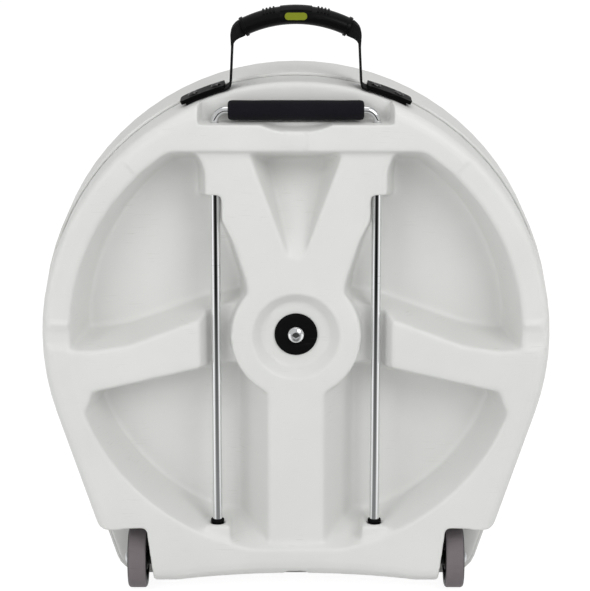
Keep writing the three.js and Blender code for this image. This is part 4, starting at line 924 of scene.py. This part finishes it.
def band(name, stations, across):
    """Webbing along stations (place, width, thickness, pleat). The UV map for its weave is in metres along
    it, and across it always spans the width of the carry webbing, so the threads close up in the folds."""
    mesh = bpy.data.meshes.new(name)
    form = bmesh.new()
    sheet_map = form.loops.layers.uv.new("strip")
    across = Vector(across)
    places = [Vector(station[0]) for station in stations]
    rings = []
    lengths = [0.0]
    for before, after in zip(places, places[1:]):
        lengths.append(lengths[-1] + (after - before).length)
    for index, (spot, width, thickness, pleat) in enumerate(stations):
        ahead = (places[min(index + 1, len(places) - 1)] - places[max(index - 1, 0)]).normalized()
        up = across.cross(ahead).normalized()
        ring = []
        for side, rise in BAND_RING:
            swell = 1 + pleat * math.cos(PLEAT_WAVES * math.pi * side)
            spot_here = Vector(spot) + across * (side * width / 2) + up * (rise * swell * thickness / 2)
            ring.append(form.verts.new(spot_here))
        rings.append(ring)
    count = len(BAND_RING)
    for index in range(len(rings) - 1):
        for corner in range(count):
            ahead_corner = (corner + 1) % count
            face = form.faces.new((rings[index][corner], rings[index][ahead_corner],
                                   rings[index + 1][ahead_corner], rings[index + 1][corner]))
            sides = (BAND_RING[corner][0], BAND_RING[ahead_corner][0])
            spans = (lengths[index], lengths[index], lengths[index + 1], lengths[index + 1])
            widths = (sides[0], sides[1], sides[1], sides[0])
            for loop, span, wide in zip(face.loops, spans, widths):
                loop[sheet_map].uv = (wide * WEBBING_WIDTH / 2, span)
    form.faces.new(rings[0][::-1])
    form.faces.new(rings[-1])
    bmesh.ops.recalc_face_normals(form, faces=form.faces)
    form.to_mesh(mesh)
    form.free()
    piece = bpy.data.objects.new(name, mesh)
    bpy.context.scene.collection.objects.link(piece)
    make_active(piece)
    bpy.ops.object.shade_smooth_by_angle(angle=math.radians(50))
    return piece


def at_arc(centre_x, centre_z, radius, angle):
    return centre_x + radius * math.sin(angle), centre_z + radius * math.cos(angle)


half = []
for step in range(ARC_PARTS + 1):
    spot = at_arc(0, ARC_CENTRE_Z, ARC_RADIUS, ARC_HALF * ARC_COVERED * step / ARC_PARTS)
    half.append((*spot, FOLDED_WIDTH, WEBBING_THICKNESS, 0.0))
bend_x, bend_z = at_arc(0, ARC_CENTRE_Z, ARC_RADIUS - FOLD_BEND, ARC_HALF)
first, last = ARC_HALF + FOLD_START, math.pi / 2
steps = 2 * (len(FOLD_THICKNESS) - 1)
for step in range(steps + 1):
    share = step / steps
    whole = int(share * (len(FOLD_THICKNESS) - 1))
    rest = share * (len(FOLD_THICKNESS) - 1) - whole
    after = min(whole + 1, len(FOLD_THICKNESS) - 1)
    thickness = FOLD_THICKNESS[whole] * (1 - rest) + FOLD_THICKNESS[after] * rest
    spot = at_arc(bend_x, bend_z, FOLD_BEND, first + (last - first) * share)
    width = FOLDED_WIDTH + (WEBBING_WIDTH - FOLDED_WIDTH) * share ** FOLD_WIDENING
    half.append((*spot, width, thickness, FOLD_PLEAT * (1 - share)))
leg_top_x, leg_top_z = half[-1][:2]
foot_radius = SHELL_RADIUS + 0.0003 + WEBBING_THICKNESS / 2
foot_angle = math.asin((LEG_X + FOOT_TURN) / foot_radius)
foot_x, foot_z = at_arc(0, CENTRE_HEIGHT, foot_radius, foot_angle)
leg_foot_z = foot_z + FOOT_TURN_HEIGHT
for step in range(1, LEG_PARTS + 1):
    share = step / LEG_PARTS
    half.append((leg_top_x + (LEG_X - leg_top_x) * share, leg_top_z + (leg_foot_z - leg_top_z) * share,
                 WEBBING_WIDTH, WEBBING_THICKNESS, 0.0))
for share in FOOT_TURN_SHARES:
    turn_x = LEG_X + (foot_x - LEG_X) * share ** FOOT_TURN_CURVE
    half.append((turn_x, leg_foot_z + (foot_z - leg_foot_z) * share, WEBBING_WIDTH, WEBBING_THICKNESS, 0.0))
end_angle = math.asin(FOOT_END_X / foot_radius)
for step in range(FOOT_PARTS + 1):
    spot = at_arc(0, CENTRE_HEIGHT, foot_radius, foot_angle + (end_angle - foot_angle) * step / FOOT_PARTS)
    half.append((*spot, WEBBING_WIDTH, WEBBING_THICKNESS, 0.0))
stations = [((-x, STRAP_Y, z), *form) for x, z, *form in reversed(half[1:])]
stations += [((x, STRAP_Y, z), *form) for x, z, *form in half]
strap_piece = band("carry_strap", stations, (0, 1, 0))
dress(strap_piece, webbing, "case", "webbing", "carry_webbing")

GRIP_DEPTH_HALF = 0.016
GRIP_RISE_HALF = 0.0112
GRIP_TAPER = 0.05
GRIP_SIDES = 40
GRIP_STEPS = 66
COLLAR_START = math.radians(24.4)
COLLAR_RISE = 0.0016
PLATFORM_END = math.radians(7.2)
PLATFORM_RISE = 0.0010
TOOTH_STARTS = (9.6, 11.2, 12.8, 14.4)
TOOTH_SPAN = 0.9
TOOTH_RISE = 0.0016
TOP_FACING = 0.72
COLLAR_FACING = 0.5
BADGE_SEAT_Y = -0.0586
BADGE_SEAT_X = 0.0165

deselect_all()
bpy.ops.mesh.primitive_circle_add(vertices=GRIP_SIDES, radius=1, fill_type="NGON", location=(0, 0, 0))
carry_grip = bpy.context.active_object
carry_grip.name = "rubber_grip"
section = Matrix.Translation((ARC_RADIUS, 0, 0)) @ Matrix.Diagonal((GRIP_RISE_HALF, GRIP_DEPTH_HALF, 1, 1))
carry_grip.data.transform(section)
bpy.ops.object.mode_set(mode="EDIT")
bpy.ops.mesh.select_all(action="SELECT")
bpy.ops.mesh.spin(steps=GRIP_STEPS, angle=2 * ARC_HALF, center=(0, 0, 0), axis=(0, -1, 0))
bpy.ops.mesh.select_all(action="SELECT")
bpy.ops.mesh.remove_doubles(threshold=MERGE_DISTANCE)
bpy.ops.mesh.normals_make_consistent(inside=False)
bpy.ops.object.mode_set(mode="OBJECT")
mesh = carry_grip.data
middle = sum(math.atan2(corner.co.z, corner.co.x) for corner in mesh.vertices) / len(mesh.vertices)
mesh.transform(Matrix.Rotation(middle - math.pi / 2, 4, "Y"))
for corner in mesh.vertices:
    angle = math.atan2(corner.co.x, corner.co.z)
    out = math.hypot(corner.co.x, corner.co.z) - ARC_RADIUS
    full = 1 - GRIP_TAPER * (angle / ARC_HALF) ** 2
    reach = ARC_RADIUS + out * full
    corner.co = (reach * math.sin(angle), corner.co.y * full, reach * math.cos(angle))


def raise_faces(piece, chosen, rise):
    make_active(piece)
    bpy.ops.object.mode_set(mode="EDIT")
    bpy.ops.mesh.select_mode(type="FACE")
    bpy.ops.mesh.select_all(action="DESELECT")
    bpy.ops.object.mode_set(mode="OBJECT")
    for face in piece.data.polygons:
        face.select = chosen(face)
    bpy.ops.object.mode_set(mode="EDIT")
    bpy.ops.mesh.extrude_region_shrink_fatten(TRANSFORM_OT_shrink_fatten={"value": rise})
    bpy.ops.object.mode_set(mode="OBJECT")


def face_angle(face):
    return abs(math.atan2(face.center.x, face.center.z))


def on_top(face):
    outward = Vector((face.center.x, 0, face.center.z)).normalized()
    return face.normal.dot(outward) > TOP_FACING


def is_tooth(face):
    angle = math.degrees(face_angle(face))
    return on_top(face) and any(start < angle < start + TOOTH_SPAN for start in TOOTH_STARTS)


def is_collar(face):
    along = Vector((face.center.z, 0, -face.center.x)).normalized()
    return face_angle(face) > COLLAR_START and abs(face.normal.dot(along)) < COLLAR_FACING


raise_faces(carry_grip, lambda face: on_top(face) and face_angle(face) < PLATFORM_END, PLATFORM_RISE)
raise_faces(carry_grip, is_tooth, TOOTH_RISE)
raise_faces(carry_grip, is_collar, COLLAR_RISE)
mesh.transform(Matrix.Translation((0, STRAP_Y, ARC_CENTRE_Z)))
for corner in mesh.vertices:
    if abs(corner.co.x) < BADGE_SEAT_X and corner.co.y < BADGE_SEAT_Y:
        corner.co.y = BADGE_SEAT_Y
round_edges(carry_grip, 0.0005, 2, math.radians(35))
grip_rubber = moulded(
    "grip_rubber", (0.0030, 0.0030, 0.0031), (0.0050, 0.0050, 0.0052), (0.014, 0.014, 0.014),
    roughness=(0.24, 0.36), grain=1400.0, bump=(0.2, 0.0003), Specular_IOR_Level=0.07)
dress(carry_grip, grip_rubber, "case", "black_rubber", "carry_grip")

BADGE_FRONT = -0.0596
BADGE_THICKNESS = 0.0025
BADGE_HALF_HEIGHT = 0.0045
BADGE_STRETCH = 0.009
BADGE_Z = 0.723
badge_plastic = moulded(
    "badge_plastic", (0.175, 0.205, 0.014), (0.205, 0.240, 0.018), (0.24, 0.26, 0.06),
    roughness=(0.35, 0.5), grain=1200.0, bump=(0.15, 0.0003), Specular_IOR_Level=0.10)
deselect_all()
bpy.ops.mesh.primitive_cylinder_add(
    vertices=48, radius=BADGE_HALF_HEIGHT, depth=BADGE_THICKNESS, rotation=(math.pi / 2, 0, 0))
badge = bpy.context.active_object
badge.name = "badge_plate"
bpy.ops.object.transform_apply(location=True, rotation=True, scale=True)
for corner in badge.data.vertices:
    corner.co.x += math.copysign(BADGE_STRETCH, corner.co.x)
badge.data.transform(Matrix.Translation((0, BADGE_FRONT + BADGE_THICKNESS / 2, BADGE_Z)))
round_edges(badge, 0.0005, 3)
dress(badge, badge_plastic, "case", "badge_plastic", "carry_grip_badge")

RIVET_HEAD = 0.006
RIVET_DOME = 0.0026
RIVET_SHANK = 0.0024
RIVET_TAIL = 0.0045
RIVET_TAIL_HEIGHT = 0.0016
PLATE_RIVET_BASE = 0.3189
PLATE_RIVET_TAIL = 0.3067
PLATE_RIVET_X = (0.095, 0.122)


def rivet(name, centre, axis, head_base, tail_top):
    dome = [
        (RIVET_HEAD * math.sin(math.radians(angle)), head_base + RIVET_DOME * math.cos(math.radians(angle)))
        for angle in range(0, 91, 10)
    ]
    profile = [
        (0, tail_top - RIVET_TAIL_HEIGHT), (RIVET_TAIL, tail_top - RIVET_TAIL_HEIGHT), (RIVET_TAIL, tail_top),
        (RIVET_SHANK, tail_top), (RIVET_SHANK, head_base), (RIVET_HEAD - 0.0004, head_base),
    ]
    piece = turned(name, profile + dome[::-1], centre, axis, 32)
    make_active(piece)
    bpy.ops.object.shade_smooth_by_angle(angle=SMOOTH_ANGLE)
    return piece


plate_plastic = moulded(
    "plate_plastic", (0.0026, 0.0026, 0.0027), (0.0046, 0.0046, 0.0048), (0.020, 0.020, 0.020),
    roughness=(0.20, 0.34), grain=900.0, bump=(0.35, 0.0004), Specular_IOR_Level=0.006)
black_steel = polished("black_steel", (0.09, 0.09, 0.092), (0.26, 0.26, 0.26), (0.14, 0.34))
for side, sign in (("left", -1), ("right", 1)):
    plate = hard_copy(f"carry_end_plate_{side}", f"end_plate_{side}", 0.0012, 3)
    dress(plate, plate_plastic, "case", "black_plastic", f"carry_end_plate_{side}")
    for number, rivet_x in enumerate(PLATE_RIVET_X, 1):
        lean = math.asin(rivet_x / SHELL_RADIUS)
        stud = rivet(
            f"plate_stud_{side}_{number}", (0, STRAP_Y, CENTRE_HEIGHT),
            (sign * math.sin(lean), 0, math.cos(lean)), PLATE_RIVET_BASE, PLATE_RIVET_TAIL)
        dress(stud, black_steel, "case", "steel", f"carry_rivet_{side}_{number}")


# Side closures: on each side a short strap is riveted in a channel of the base and one in the lid, and
# a moulded side-release buckle joins them. Each strap goes round a bar of its buckle half and is sewn down.

STRAP_HALF_WIDTH = 0.0125
STRAP_THICKNESS = 0.0018
BUCKLE_MID_X = 0.3098
BAR_WRAP = 0.0029
BAR_APPROACH = 0.004
BELT_TAIL_DROPS = (0.0006, 0.0020)
BASE_RUN = (0.3022, -0.068, -0.0495, -0.0355)
LID_RUN = (0.3062, 0.071, 0.0255, 0.0115)
BASE_STUD = (-0.057, 0.3034, 0.2967)
LID_STUD = (0.060, 0.3074, 0.3012)
STITCH_LENGTH = 0.0022
STITCH_PITCH = 0.0030
STITCH_RADIUS = 0.00035
STITCH_START = 0.0006
STITCH_ROWS = (-0.7, 0.7)
STITCHES_IN_ROW = 4
STITCH_LEAN_FROM = 1.2
STITCH_LEAN = 0.0007
STITCH_SIDES = 8

stitching, tree, shader = new_material("stitching", Specular_IOR_Level=0.3, Roughness=0.6)
twist = noise(tree, object_place(tree), 2200.0, 2.0)
thread_colour = blended(tree, twist, (0.010, 0.010, 0.011), (0.035, 0.035, 0.037))
tree.links.new(thread_colour, shader.inputs["Base Color"])
tree.links.new(ranged(tree, twist, 0.45, 0.75), shader.inputs["Roughness"])
tree.links.new(bumped(tree, twist, 0.6, 0.0003), shader.inputs["Normal"])

for side, sign in (("left", -1), ("right", 1)):
    for half_name, body, run, stud_place in (
        ("base", "case", BASE_RUN, BASE_STUD), ("lid", "lid", LID_RUN, LID_STUD),
    ):
        flat_x, end_y, lift_y, bar_y = run
        ahead = math.copysign(1, bar_y - end_y)
        inner_x = BUCKLE_MID_X - BAR_WRAP
        outer_x = BUCKLE_MID_X + BAR_WRAP
        line = [(flat_x, end_y), (flat_x, (end_y + lift_y) / 2), (flat_x, lift_y)]
        bar_start = bar_y - ahead * BAR_APPROACH
        line += [(flat_x * (1 - share) + inner_x * share, lift_y + (bar_start - lift_y) * rise)
                 for share, rise in ((0.12, 0.25), (0.5, 0.5), (0.88, 0.75))]
        line += [(inner_x, bar_start)]
        line += [(BUCKLE_MID_X - BAR_WRAP * math.cos(math.radians(angle)),
                  bar_y + ahead * BAR_WRAP * math.sin(math.radians(angle))) for angle in range(0, 181, 20)]
        line += [(outer_x, bar_start)]
        line += [(outer_x - drop, bar_y - ahead * BAR_APPROACH * steps)
                 for steps, drop in enumerate(BELT_TAIL_DROPS, 2)]
        belt_form = 2 * STRAP_HALF_WIDTH, STRAP_THICKNESS, 0.0
        stations = [((sign * x, y, CENTRE_HEIGHT), *belt_form) for x, y in line]
        strap_piece = band(f"{half_name}_belt_{side}", stations, (0, 0, 1))
        dress(strap_piece, webbing, body, "webbing", f"{half_name}_strap_{side}")

        seams = []
        for row in STITCH_ROWS:
            for count in range(STITCHES_IN_ROW):
                deselect_all()
                bpy.ops.mesh.primitive_cylinder_add(
                    vertices=STITCH_SIDES, radius=STITCH_RADIUS, depth=STITCH_LENGTH)
                stitch = bpy.context.active_object
                make_active(stitch)
                turn = Matrix.Rotation(math.pi / 2, 4, "X")
                along = bar_y - ahead * (STITCH_START + count * STITCH_PITCH)
                lean = max(0, count - STITCH_LEAN_FROM) * STITCH_LEAN
                stitch_x = sign * (outer_x + STRAP_THICKNESS / 2 - lean)
                spot = (stitch_x, along, CENTRE_HEIGHT + row * STRAP_HALF_WIDTH)
                stitch.data.transform(Matrix.Translation(spot) @ turn)
                seams.append(round_edges(stitch, 0.00015, 1))
        deselect_all()
        for stitch in seams:
            stitch.select_set(True)
        bpy.context.view_layer.objects.active = seams[0]
        bpy.ops.object.join()
        thread = seams[0]
        thread.name = f"{half_name}_stitches_{side}"
        thread.data.materials.clear()
        thread.data.materials.append(stitching)
        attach(thread, body)

        stud_y, head_base, tail_top = stud_place
        stud = rivet(
            f"{half_name}_stud_{side}", (0, stud_y, CENTRE_HEIGHT), (sign, 0, 0), head_base, tail_top)
        dress(stud, steel, body, "steel", f"{half_name}_strap_rivet_{side}")

    prongs = hard_copy(f"buckle_prongs_{side}", f"prongs_{side}", 0.0007)
    dress(prongs, black_plastic, "case", "black_plastic", f"buckle_prongs_{side}")
    socket = hard_copy(f"buckle_socket_{side}", f"socket_{side}", 0.0009)
    dress(socket, black_plastic, "lid", "black_plastic", f"buckle_socket_{side}")
